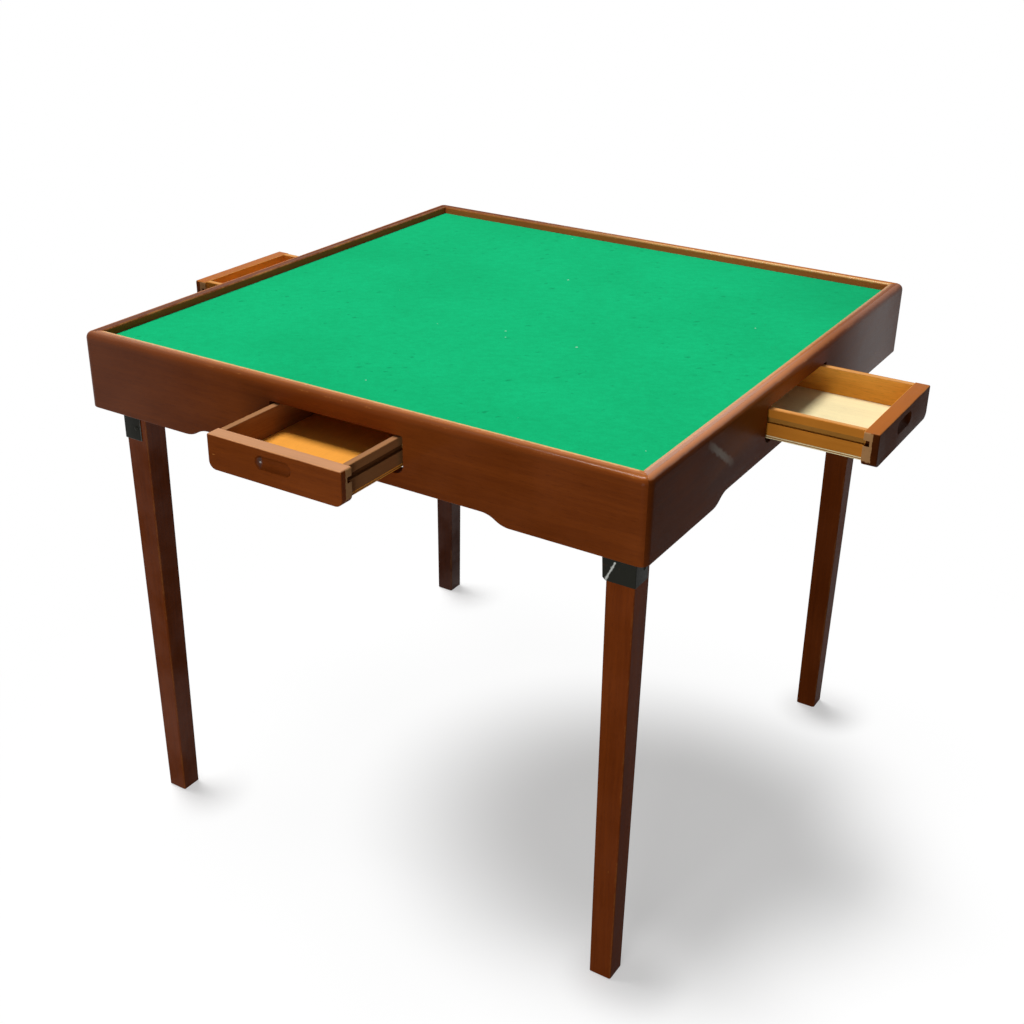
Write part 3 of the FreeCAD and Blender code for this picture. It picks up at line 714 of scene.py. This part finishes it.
def fastener_tree(slotted):
    """Geometry nodes: a domed head on a shank at each point, facing along the point's outward attribute."""
    name = "Slotted screws" if slotted else "Domed heads"
    if name in bpy.data.node_groups:
        return bpy.data.node_groups[name]
    group = bpy.data.node_groups.new(name, "GeometryNodeTree")
    group.is_modifier = True
    sockets = {"Points": "Geometry", "Head Radius": "Float", "Head Height": "Float", "Dome": "Float",
               "Shank Radius": "Float", "Shank Length": "Float", "Sides": "Int", "Material": "Material"}
    if slotted:
        sockets.update({"Slot Width": "Float", "Slot Depth": "Float", "Seed": "Int"})
    for socket, kind in sockets.items():
        group.interface.new_socket(socket, in_out="INPUT", socket_type="NodeSocket" + kind)
    group.interface.new_socket("Mesh", in_out="OUTPUT", socket_type="NodeSocketGeometry")
    tree = Tree(group)
    given = group.nodes.new("NodeGroupInput").outputs
    radius, height, dome = given["Head Radius"], given["Head Height"], given["Dome"]

    def raised(geometry, by):
        return tree.node("GeometryNodeTransform", {
            "Geometry": geometry, "Translation": tree.upward(by)}).outputs[0]

    def cylinder(radius, depth, **settings):
        fill = {"Fill Segments": 5} if settings else {}
        return tree.node("GeometryNodeMeshCylinder", {
            "Vertices": given["Sides"], "Radius": radius, "Depth": depth, **fill}, **settings).outputs

    disc = cylinder(radius, height, fill_type="TRIANGLE_FAN")
    flat = tree.stretch(tree.node("GeometryNodeInputPosition").outputs[0], (1, 1, 0))
    out = tree.maths("DIVIDE", tree.vector("LENGTH", flat), radius)
    crown = tree.times(dome, tree.minus(1.0, tree.times(out, out)))
    head = tree.node("GeometryNodeSetPosition", {
        "Geometry": disc["Mesh"], "Selection": disc["Top"], "Offset": tree.upward(crown)}).outputs[0]
    head = raised(head, tree.times(height, 0.5))
    if slotted:
        size = tree.node("ShaderNodeCombineXYZ", {
            "X": tree.times(radius, 3.0), "Y": given["Slot Width"],
            "Z": tree.times(given["Slot Depth"], 2.0)}).outputs[0]
        cutter = raised(tree.node("GeometryNodeMeshCube", {"Size": size}).outputs["Mesh"],
                        tree.plus(height, dome))
        head = tree.node("GeometryNodeMeshBoolean", {0: head, 1: cutter}, operation="DIFFERENCE").outputs[0]
    shank = raised(cylinder(given["Shank Radius"], given["Shank Length"])["Mesh"],
                   tree.times(given["Shank Length"], -0.49))
    whole = tree.node("GeometryNodeMeshBoolean", {1: head}, operation="UNION")
    tree.feed(whole, {1: shank})
    facing = tree.node("GeometryNodeInputNamedAttribute", {"Name": "outward"}, data_type="FLOAT_VECTOR")
    aimed = tree.node("FunctionNodeAlignRotationToVector", {"Vector": facing.outputs["Attribute"]}, axis="Z")
    placed = tree.node("GeometryNodeInstanceOnPoints", {
        "Points": given["Points"], "Instance": whole.outputs[0], "Rotation": aimed.outputs[0]}).outputs[0]
    if slotted:
        spin = tree.node("FunctionNodeRandomValue", {3: math.pi, "Seed": given["Seed"]}, data_type="FLOAT")
        placed = tree.node("GeometryNodeRotateInstances", {
            "Instances": placed, "Rotation": tree.upward(spin.outputs[1]), "Local Space": True}).outputs[0]
    realised = tree.node("GeometryNodeRealizeInstances", {"Geometry": placed}).outputs[0]
    painted = tree.node("GeometryNodeSetMaterial", {"Geometry": realised, "Material": given["Material"]})
    tree.node("NodeGroupOutput", {"Mesh": painted.outputs[0]})
    return group


def fasten(name, spots, steel, body, nodes, inputs, slotted=False):
    """A piece of like fasteners. Each spot is the point under a head and the way that the head faces."""
    carrier = bpy.data.meshes.new(name + "_spots")
    carrier.from_pydata([place for place, _ in spots], [], [])
    facing = carrier.attributes.new("outward", "FLOAT_VECTOR", "POINT")
    for item, (_, outward) in zip(facing.data, spots):
        item.vector = outward
    work = linked(name + "_work", carrier)
    group = fastener_tree(slotted)
    modifier = work.modifiers.new("Fasteners", "NODES")
    modifier.node_group = group
    sockets = {item.name: item.identifier for item in group.interface.items_tree if item.in_out == "INPUT"}
    for socket, value in {**inputs, "Material": steel, "Sides": sizes().round_sides}.items():
        modifier[sockets[socket]] = value
    mesh = plain_mesh(work, name)
    if not mesh.polygons:
        raise RuntimeError(f"{name} came out empty")
    piece(name, smooth(mesh), steel, body, nodes)


def solid_boxes(node):
    """The lowest and highest corners of each solid in a CAD node."""
    work = joined(node)
    left, found = set(work.verts), []
    while left:
        reached, waiting = [], [min(left, key=lambda vert: vert.index)]
        left.discard(waiting[0])
        while waiting:
            vert = waiting.pop()
            reached.append(vert.co.copy())
            for link in vert.link_edges:
                other = link.other_vert(vert)
                if other in left:
                    left.discard(other)
                    waiting.append(other)
        found.append(tuple(Vector([pick(point[axis] for point in reached) for axis in range(3)])
                           for pick in (min, max)))
    work.free()
    return sorted(found, key=lambda box: tuple(box[0]))


def cloth_mesh():
    """The baize as one closed, slightly uneven sheet with rolled edges."""
    size = sizes()
    half, bottom, top = CLOTH_HIGH.x, CLOTH_LOW.z, CLOTH_HIGH.z
    count = round(2 * half / size.cloth_step)
    inside = half - size.cloth_roll
    lines = [-inside + 2 * inside * i / count for i in range(count + 1)]
    # The sheet lies flatter within this distance of its edge
    calm = 0.02
    work = bmesh.new()
    rows = []
    for y in lines:
        row = []
        for x in lines:
            uneven = noise.fractal(Vector((x * 9, y * 9, 0.37)), 0.7, 2.1, 4)
            fade = min(1.0, (inside - max(abs(x), abs(y))) / calm)
            lift = size.cloth_relief * (max(-1.0, min(1.0, uneven)) - 1.0) * (0.4 + 0.6 * fade)
            row.append(work.verts.new((x, y, top + lift)))
        rows.append(row)
    for below, above in zip(rows, rows[1:]):
        for corners in zip(below, below[1:], above[1:], above):
            work.faces.new(corners)
    rim = rows[0][:-1] + [row[-1] for row in rows[:-1]] + rows[-1][:0:-1] + [row[0] for row in rows[:0:-1]]
    before, steps = rim, 4
    for step in range(1, steps + 2):
        turn = min(step, steps) / steps * math.pi / 2
        out = 1 + (size.cloth_roll * math.sin(turn)) / inside
        drop = size.cloth_roll * (math.cos(turn) - 1)
        ring = [work.verts.new((vert.co.x * out, vert.co.y * out,
                                bottom if step > steps else vert.co.z + drop)) for vert in rim]
        for i, vert in enumerate(ring):
            j = (i + 1) % len(ring)
            work.faces.new((before[i], vert, ring[j], before[j]))
        before = ring
    work.faces.new(list(reversed(before)))
    bmesh.ops.recalc_face_normals(work, faces=work.faces)
    return smooth(mesh_of(work, "baize_cloth"))


# Stage

# The middle of the table's shadow on the floor, and how much narrower than a circle it is
SHADOW_MIDDLE = (0.33, -0.085, 0.0)
SHADOW_SQUEEZE = (1.1, 1.27, 1.0)
# How far beside a leg the shadow at its foot lies
FOOT_SHADOW = Vector((0.03, 0.0, 0.0))
# How the floor turns white away from that middle, in two steps, and away from the shadow at a foot, each
# as two distances and how white it is at them
SHADOW_FADES = ((0.2, 0.6, 0.0, 0.94), (0.9, 1.5, 0.0, 0.07))
FOOT_FADE = (0.015, 0.1, 0.1, 1.0)
FLOOR_RADIUS = 30
WHITE = (1.0, 1.0, 1.0)
# What the floor gives back to the table
BOUNCE = (0.1, 0.1, 0.1)
# Where the lights stand, what the fill light faces and how wide it is
KEY_PLACE = (-0.18, 0.04, 0.75)
FILL_PLACE, FILL_TARGET, FILL_WIDTH = (0.6, -3.2, 0.6), (0.0, -0.4, 0.6), 1.2


def lamp(kind, name, place, target, power, **settings):
    light = bpy.data.lights.new(name, kind)
    light.energy = power
    for setting, value in settings.items():
        setattr(light, setting, value)
    made = linked(name, light)
    made.location = place
    made.rotation_euler = (Vector(target) - Vector(place)).to_track_quat("-Z", "Y").to_euler()


def seen_directly(tree):
    """1 for rays that show the background itself: from the camera, in gloss and through glass."""
    path = tree.node("ShaderNodeLightPath").outputs
    return tree.most(*(path[f"Is {kind} Ray"] for kind in ("Camera", "Glossy", "Transmission")))


def floor_material():
    """Pale floor with the table's shadow near it, plain white further off and clear from beneath."""
    material = bpy.data.materials.new("pale_floor")
    material.use_nodes = True
    material.node_tree.nodes.clear()
    tree = Tree(material.node_tree)
    place = tree.place()
    away = tree.vector("LENGTH", tree.stretch(tree.offset(place, SHADOW_MIDDLE), SHADOW_SQUEEZE))
    far = tree.plus(*(tree.between(away, *fade) for fade in SHADOW_FADES))
    for leg in LEGS:
        foot = boxed(leg + "_leg")[0] + FOOT_SHADOW
        foot.z = 0
        apart = tree.vector("LENGTH", tree.offset(place, foot))
        far = tree.times(far, tree.between(apart, *FOOT_FADE))

    def shader(kind, inputs):
        return tree.node("ShaderNode" + kind, inputs).outputs[0]

    def glow(strength):
        return shader("Emission", {"Color": WHITE, "Strength": strength})

    bounce = shader("BsdfDiffuse", {"Color": BOUNCE})
    shaded = shader("BsdfDiffuse", {"Color": colours().floor})
    near = shader("AddShader", {0: shaded, 1: glow(bpy.context.scene.stage_look.shadow_lift)})
    shown = shader("MixShader", {0: far, 1: near, 2: glow(1.0)})
    above = shader("MixShader", {0: seen_directly(tree), 1: bounce, 2: shown})
    beneath = tree.node("ShaderNodeNewGeometry").outputs["Backfacing"]
    surface = shader("MixShader", {0: beneath, 1: above, 2: shader("BsdfTransparent", {})})
    tree.node("ShaderNodeOutputMaterial", {"Surface": surface})
    return material


# Operators

class RimLook(NamedTuple):
    """Painted shade, light and highlight on one side's board. Spans run along its side, depths in from its
    face.
    """
    shade: tuple
    wall_light: float
    crest_highlight: float
    rim_shade: float
    rim_shade_span: tuple
    rim_shade_fade: float
    rim_shade_depth: tuple = (-0.02, 0.04)
    crest_highlight_span: tuple = (-CLOTH_HIGH.x, CLOTH_HIGH.x)
    crest_highlight_fade: float = 0.0035


class MAHJONG_OT_aprons(bpy.types.Operator):
    """Soften and polish the four aprons, whose top edges are the rim"""
    bl_idname = "mahjong.aprons"
    bl_label = "Aprons"

    # Per board: painted shade at its two ends (how bright they are), painted light on its inside, a painted
    # highlight on its inner edge, and painted shade over its top, and where
    rims = {
        "front": RimLook((0.78, 1.02), 0.85, 0.8, 0.85, (-0.8, 0.5), 0.2, rim_shade_depth=(-0.02, 0.0122)),
        "right": RimLook((0.62, 0.8), 0.85, 0.35, 0.75, (-0.1, 1.0), 0.35),
        "back": RimLook((0.9, 0.8), 0.95, 0.9, 0.8, (-0.1, 1.0), 0.35, crest_highlight_span=(-0.8, 0.25),
                        crest_highlight_fade=0.45),
        "left": RimLook((0.8, 0.9), 0.4, 0.0, 0.95, (-0.8, 0.8), 0.01, rim_shade_depth=(0.005, 0.04))}
    # Where the painted light on the rim's inside and the painted highlight on its inner edge lie,
    # in from the boards' faces
    wall_light_depth = (0.0185, 0.0215)
    crest_highlight_depth = (0.0135, 0.0235)
    # Spans that take in all of a board, in from its face and up
    through, upright = (-0.3, 0.3), (0.2, 1.2)
    # The two ends of the pale streak on the right board
    right_pale_streak = ((0.432, -0.284, 0.752), (0.432, -0.2, 0.694))

    def execute(self, context):
        tint = colours()
        tints = (tint.polish_dark, tint.polish_light, tint.polish_wear_and_highlight, tint.polish_top_sheen)
        for seed, side in enumerate(SIDES):
            node, rim = side + "_apron", self.rims[side]
            polish = wood(
                node + "_polish", node, tints, seed, edges=0.5, top=0.95, width=0.003, top_depth=0.0042,
                edge_reach=0.006, coat=0.2, polish=0.05, shade=rim.shade,
                patches=self.rim_patches(node, side, rim) + self.board_patches(node, side),
                pale_streaks=[self.right_pale_streak] if side == "right" else [])
            soften(node, sizes().apron_edge, polish, TABLE)
        return {"FINISHED"}

    def rim_patches(self, node, side, rim):
        """Painted shade on the rim's top, painted light on its inside by the cloth, a painted highlight on
        its inner edge.
        """
        tint, top = colours(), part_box(node)[1].z
        cloth = (-CLOTH_HIGH.x, CLOTH_HIGH.x)
        rim_shade = area_on(node, side, rim.rim_shade_span, rim.rim_shade_depth, (top - 0.014, top + 0.02))
        wall_light = area_on(node, side, cloth, self.wall_light_depth, (CLOTH_HIGH.z - 0.002, top - 0.001))
        crest_highlight = area_on(node, side, rim.crest_highlight_span, self.crest_highlight_depth, (top - 0.0035, top + 0.006))
        return [
            Patch(rim_shade, tint.rim_shade_tint, rim.rim_shade, soft=soft_on(side, rim.rim_shade_fade, 0.0075, 0.006)),
            Patch(wall_light, tint.wall_light_tint, rim.wall_light, soft=(0.0008,) * 3),
            Patch(crest_highlight, tint.crest_highlight_tint, rim.crest_highlight,
                  soft=soft_on(side, rim.crest_highlight_fade, 0.0035, 0.0035), ragged=0.004)]

    def board_patches(self, node, side):
        """A painted reflection of the drawer on the right board beside it, and glossier stretches of the
        right and front boards.
        """
        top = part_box(node)[1].z
        if side == "right":
            # Painted reflection of the open drawer on the board beside it
            reflection_beside_drawer = area_on(node, side, (-0.3, 0.08), (-0.01, 0.01), (0.69, top + 0.02))
            far_end = area_on(node, side, (0.1, 0.52), self.through, self.upright)
            near_rim = area_on(node, side, (-0.9, 0.15), (-0.02, 0.04), (top - 0.004, top + 0.02))
            return [Patch(reflection_beside_drawer, colours().polish_top_sheen, 0.3, soft=soft_on(side, 0.14, 0.005, 0.03)),
                    Patch(far_end, coat=0.25, soft=soft_on(side, 0.2, 0.1, 0.1)),
                    Patch(near_rim, coat=0.7, soft=soft_on(side, 0.4, 0.002, 0.002))]
        if side == "front":
            left_end = area_on(node, side, (-0.9, -0.1), self.through, self.upright)
            return [Patch(left_end, coat=0.2, soft=soft_on(side, 0.3, 0.1, 0.1))]
        return []


class MAHJONG_OT_baize(bpy.types.Operator):
    """Lay the baize cloth on its panel"""
    bl_idname = "mahjong.baize"
    bl_label = "Baize"

    def execute(self, context):
        cloth = piece("baize_cloth", cloth_mesh(), felted(), TABLE, ["baize"])
        return {"FINISHED"}


class MAHJONG_OT_framing(bpy.types.Operator):
    """Finish the panel, cleats, corner blocks and drawer rails under the top"""
    bl_idname = "mahjong.framing"
    bl_label = "Framing"

    def execute(self, context):
        tint = colours()
        tints = (tint.inner_dark, *[tint.inner_light] * 3)
        nodes = ["top_panel", "panel_cleats"]
        nodes += [leg + "_corner_block" for leg in LEGS]
        nodes += [f"{side}_drawer_{hand}_rail" for side in SIDES for hand in ("left", "right")]
        for seed, node in enumerate(nodes):
            repaint(node, wood(node + "_wood", node, tints, SEEDS["framing"] + seed, rough=0.62, edges=0.3))
        return {"FINISHED"}


class MAHJONG_OT_drawers(bpy.types.Operator):
    """Soften and finish the four drawers"""
    bl_idname = "mahjong.drawers"
    bl_label = "Drawers"

    # Painted shade on each face (how bright it is), the painted sheen on its top edge, and its gloss
    faces = {"front": (1.05, 0.7, 0.05), "right": (0.4, 0.75, 0.0), "back": (0.8, 0.75, 0.05),
             "left": (0.9, 0.85, 0.05)}
    # Painted light: one drawer's sides take the shaded colours, the rest the lit ones; two bottoms take the
    # shaded plywood
    shade_painted_drawers = ("front",)
    shaded_bottoms = ("front", "left")
    # How soft the border of a sharp patch is
    crisp = (0.0004,) * 3

    def execute(self, context):
        tint, size = colours(), sizes()
        shaded_drawer_tints = (tint.shaded_drawer_dark, tint.shaded_drawer_light, tint.shaded_drawer_wear_and_sheen, tint.shaded_drawer_wear_and_sheen)
        lit_drawer_tints = (tint.lit_drawer_dark, tint.lit_drawer_light, tint.lit_drawer_wear_and_sheen, tint.lit_drawer_wear_and_sheen)
        for seed, side in enumerate(SIDES):
            drawer = side + "_drawer"
            if side in self.shade_painted_drawers:
                tints, outside = shaded_drawer_tints, tint.shaded_drawer_light
            else:
                tints, outside = lit_drawer_tints, tint.gold_outside
            node = drawer + "_face"
            shade, wear_and_sheen, gloss = self.faces[side]
            # The colour of the painted sheen on the face's top edge
            top_sheen = tint.face_top_sheen if side == "front" else tint.polish_top_sheen
            polish = wood(
                node + "_polish", node, (tint.polish_dark, tint.polish_light, tint.polish_wear_and_highlight, top_sheen),
                SEEDS["face"] + seed, edges=0.3, top=wear_and_sheen, width=0.0016, top_depth=0.0016, edge_reach=0.003,
                coat=0.1, polish=gloss, shade=(shade, shade),
                patches=self.face_patches(node, side, tints[1]))
            soften(node, size.apron_edge, polish, drawer)
            for part in ("left_side", "right_side", "back"):
                node = f"{drawer}_{part}"
                finish = wood(
                    node + "_wood", node, tints, SEEDS["box"] + 3 * seed + len(part), rough=0.5, edges=0.35,
                    top=0.85, width=0.0015, top_depth=0.0012,
                    patches=[] if part == "back" else self.side_patches(node, outside))
                soften(node, size.drawer_edge, finish, drawer)
            node = drawer + "_bottom"
            veneer = tint.plywood_shaded if side in self.shaded_bottoms else tint.plywood_lit
            finish = plywood(node + "_plywood", node, veneer, SEEDS["bottom"] + seed)
            soften(node, size.plywood_edge, finish, drawer)
        return {"FINISHED"}

    def face_patches(self, node, side, inside):
        """Painted shade in the finger pull, the bare ends and the unpolished inside of a drawer's face."""
        tint, size = colours(), sizes()
        low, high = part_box(node)
        pull = high.z - size.pull_drop
        half = max(high.x - low.x, high.y - low.y) / 2
        reach = size.pull_half + 0.003
        scoop, upright = (0.0008, 0.009), (low.z - 0.01, high.z + 0.01)
        # Painted shade over the pull, deeper and glossy at its left end
        pull_shade_area = area_on(node, side, (-reach, reach), scoop, (pull - 0.003, pull + 0.012))
        pull_end_shade_area = area_on(node, side, (-reach, 0.012 - reach), scoop, (pull - 0.012, pull + 0.012))
        bare = area_on(node, side, (-half, half), (0.0192, 0.03), upright)
        patches = [Patch(pull_shade_area, tint.pull_shade_tint, 0.55, soft=(0.008,) * 3),
                   Patch(pull_end_shade_area, tint.pull_shade_tint, 0.75, coat=0.5, soft=(0.004,) * 3),
                   Patch(bare, inside, 0.9, soft=self.crisp)]
        for hand in (-1, 1):
            end = area_on(node, side, (hand * (half - 0.0012), hand * (half + 0.02)), (0.008, 0.03), upright)
            patches.append(Patch(end, tint.raw_end, 0.8, soft=(0.0008,) * 3, ragged=0.003))
        return patches

    def side_patches(self, node, outer):
        """The outside of a drawer's side, and painted shade in the groove along it."""
        size = sizes()
        centre, half = boxed(node)
        across = 0 if half.x < half.y else 1
        outward = math.copysign(half[across], centre[across])
        # The groove's patch is painted shade, a darker colour along it
        outside, groove_shade = (centre.copy(), half * 1.1), (centre.copy(), half.copy())
        outside[0][across] += 0.85 * outward
        outside[1][across] = 0.3 * half[across]
        groove_shade[0][across] += 0.42 * outward
        groove_shade[0].z += half.z - size.groove_drop - size.groove_height / 2
        groove_shade[1][across] = 0.52 * half[across]
        groove_shade[1].z = size.groove_height / 2 + self.crisp[2]
        return [Patch(outside, outer, 0.85, soft=self.crisp),
                Patch(groove_shade, colours().groove_shade, 0.6, soft=self.crisp)]


class MAHJONG_OT_legs(bpy.types.Operator):
    """Polish the four tapered legs"""
    bl_idname = "mahjong.legs"
    bl_label = "Legs"

    # Painted shade on each leg, as how bright its polish is, and how glossy it is
    leg_shade_and_gloss = {"front_right": (1.0, 0.05), "back_right": (0.85, 0.05), "back_left": (0.4, 0.34),
                "front_left": (0.85, 0.22)}
    # A leg's width at the foot as a share of that at its top
    foot_share = 32 / 38

    def execute(self, context):
        tint = colours()
        tints = (tint.leg_dark, tint.leg_light, tint.polish_wear_and_highlight, tint.polish_wear_and_highlight)
        for seed, leg in enumerate(LEGS):
            node = leg + "_leg"
            shade, gloss = self.leg_shade_and_gloss[leg]
            repaint(node, wood(
                node + "_polish", node, tints, SEEDS["leg"] + seed, edges=0.12, width=0.0026,
                foot=self.foot_share, polish=gloss, shade=(shade, shade)))
        return {"FINISHED"}


class MAHJONG_OT_leg_steel(bpy.types.Operator):
    """Blacken and wear the leg shoes and pivot brackets"""
    bl_idname = "mahjong.leg_steel"
    bl_label = "Leg steel"

    # Share of the lip's bend that has rubbed bare, from its foot
    rubbed_share = 0.62

    def execute(self, context):
        for turns, leg in enumerate(LEGS):
            shoe, bracket = leg + "_leg_shoe", leg + "_pivot_bracket"
            finish = worn_steel(
                shoe + "_steel", shoe, SEEDS["shoe"] + turns, bend=self.lip_bend(leg, turns))
            piece(shoe + "_plate", bent(shoe, sizes().shoe_bend), finish, leg + "_folding_leg",
                  [shoe])
            repaint(bracket, worn_steel(bracket + "_steel", bracket, SEEDS["bracket"] + turns))
        return {"FINISHED"}

    def lip_bend(self, leg, turns):
        """The two ends of the line along which a shoe's lip is bent out, on the shoe's outer face."""
        joint = next(joint for joint in frame["joints"] if joint["name"] == leg + "_leg_fold")
        pivot = Vector(joint["pos_m"])
        half = boxed(leg + "_leg")[1].x
        turn = Matrix.Rotation(turns * math.pi / 2, 4, "Z")
        heel = turn @ Vector((-half, -half - sizes().shoe_plate, 0))
        head = turn @ Vector((0, -half - sizes().shoe_plate, 0))
        heel.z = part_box(leg + "_leg_shoe")[0].z - pivot.z
        head.z = -sizes().lip_drop
        return pivot + heel, pivot + heel.lerp(head, self.rubbed_share)


class MAHJONG_OT_fasteners(bpy.types.Operator):
    """Make the legs' rivets, the brackets' slotted screws and the drawers' brads, and finish the bolts"""
    bl_idname = "mahjong.fasteners"
    bl_label = "Fasteners"

    # Shares of a rivet's and a screw's head that are domed
    rivet_dome, screw_dome = 0.75, 0.5
    rivet_shank = {"Shank Radius": 0.0019, "Shank Length": 0.0115}
    screw_shank = {"Shank Radius": 0.0017, "Shank Length": 0.0155}
    brad = {"Head Height": 0.00012, "Dome": 0.00018, "Shank Radius": 0.0006, "Shank Length": 0.0025}

    def execute(self, context):
        size = sizes()
        for turns, leg in enumerate(LEGS):
            self.rivet(leg, worn_steel(
                leg + "_leg_rivet_steel", leg + "_leg_rivet", SEEDS["rivet"] + turns, width=0.0006))

        node = "bracket_screws"
        boxes = solid_boxes(node)
        spots = [(Vector(((low.x + high.x) / 2, (low.y + high.y) / 2, low.z + size.screw_height)), DOWN)
                 for low, high in boxes]
        steel = worn_steel(node + "_steel", node, SEEDS["screw"], black=False)
        fasten("bracket_slotted_screws", spots, steel, TABLE, [node], {
            "Head Radius": (boxes[0][1].x - boxes[0][0].x) / 2,
            "Head Height": size.screw_height * (1 - self.screw_dome),
            "Dome": size.screw_height * self.screw_dome, "Slot Width": size.slot_width,
            "Slot Depth": size.slot_depth, "Seed": size.seed, **self.screw_shank}, slotted=True)

        for seed, node in enumerate(("panel_screws", "pivot_bolts", "pivot_nuts")):
            repaint(node, worn_steel(node + "_steel", node, SEEDS["bolt"] + seed, black=False))

        for seed, side in enumerate(SIDES):
            drawer = side + "_drawer"
            self.brads(drawer, worn_steel(
                drawer + "_brads_steel", drawer + "_bottom", SEEDS["brad"] + seed, black=False))
        return {"FINISHED"}

    def rivet(self, leg, steel):
        """A domed head in place of a leg's rivet, on its outer side."""
        size = sizes()
        node = leg + "_leg_rivet"
        centre, half = boxed(node)
        axis = max(range(3), key=lambda i: half[i])
        outward = Vector((0, 0, 0))
        outward[axis] = math.copysign(1.0, centre[axis])
        spot = centre + outward * (half[axis] - size.rivet_height)
        fasten(node + "_head", [(spot, outward)], steel, leg + "_folding_leg", [node], {
            "Head Radius": size.rivet_head, "Head Height": size.rivet_height * (1 - self.rivet_dome),
            "Dome": size.rivet_height * self.rivet_dome, **self.rivet_shank})

    def brads(self, drawer, steel):
        """Brads under the corners and the middles of the edges of a drawer's bottom."""
        centre, half = boxed(drawer + "_bottom")
        inset = sizes().brad_inset
        around = ((-1, -1), (-1, 1), (1, -1), (1, 1), (-1, 0), (1, 0), (0, -1), (0, 1))
        spots = [(centre + Vector((x * (half.x - inset), y * (half.y - inset), -half.z)), DOWN)
                 for x, y in around]
        fasten(drawer + "_brads", spots, steel, drawer, [], {"Head Radius": sizes().brad_head, **self.brad})


class MAHJONG_OT_stage(bpy.types.Operator):
    """Set up the floor, the lights and the camera"""
    bl_idname = "mahjong.stage"
    bl_label = "Stage"

    def execute(self, context):
        scene, look = context.scene, context.scene.stage_look
        scene.view_settings.view_transform = "Standard"

        work = bmesh.new()
        bmesh.ops.create_circle(work, cap_ends=True, segments=96, radius=FLOOR_RADIUS)
        mesh = mesh_of(work, "floor")
        mesh.materials.append(floor_material())
        linked("floor", mesh)

        lamp("SUN", "key_light", KEY_PLACE, ORIGIN, look.key_strength, angle=look.key_spread)
        lamp("AREA", "fill_light", FILL_PLACE, FILL_TARGET, look.fill_power, shape="SQUARE",
             size=FILL_WIDTH)

        world = bpy.data.worlds.new("studio")
        world.use_nodes = True
        world.node_tree.nodes.clear()
        tree = Tree(world.node_tree)
        strength = tree.between(seen_directly(tree), 0, 1, look.sky, 1.0, smooth=False)
        sky = tree.node("ShaderNodeBackground", {"Color": WHITE, "Strength": strength})
        tree.node("ShaderNodeOutputWorld", {"Surface": sky.outputs[0]})
        scene.world = world

        lens = bpy.data.cameras.new("camera")
        lens.sensor_width = 36
        lens.lens = look.lens
        camera = linked("camera", lens)
        camera.location = look.camera_place
        camera.rotation_euler = Euler(look.camera_turn)
        scene.camera = camera
        return {"FINISHED"}


OPERATORS = (
    MAHJONG_OT_stage, MAHJONG_OT_aprons, MAHJONG_OT_baize, MAHJONG_OT_framing, MAHJONG_OT_drawers,
    MAHJONG_OT_legs, MAHJONG_OT_leg_steel, MAHJONG_OT_fasteners)


class MAHJONG_PT_table(bpy.types.Panel):
    bl_idname = "MAHJONG_PT_table"
    bl_label = "Mahjong table"
    bl_space_type = "VIEW_3D"
    bl_region_type = "UI"
    bl_category = "Mahjong table"

    def draw(self, context):
        for operator in OPERATORS:
            self.layout.operator(operator.bl_idname)
        for group in (context.scene.table_sizes, context.scene.table_colours, context.scene.stage_look):
            box = self.layout.box()
            for name in group.bl_rna.properties.keys():
                if name not in ("rna_type", "name"):
                    box.prop(group, name)


CLASSES = (TableSizes, TableColours, StageLook, *OPERATORS, MAHJONG_PT_table)


def register():
    for kind in CLASSES:
        bpy.utils.register_class(kind)
    bpy.types.Scene.table_sizes = PointerProperty(type=TableSizes)
    bpy.types.Scene.table_colours = PointerProperty(type=TableColours)
    bpy.types.Scene.stage_look = PointerProperty(type=StageLook)


def unregister():
    del bpy.types.Scene.stage_look
    del bpy.types.Scene.table_colours
    del bpy.types.Scene.table_sizes
    for kind in reversed(CLASSES):
        bpy.utils.unregister_class(kind)


def main():
    register()
    for operator in OPERATORS:
        group, name = operator.bl_idname.split(".")
        getattr(getattr(bpy.ops, group), name)()


if __name__ == "__main__":
    main()
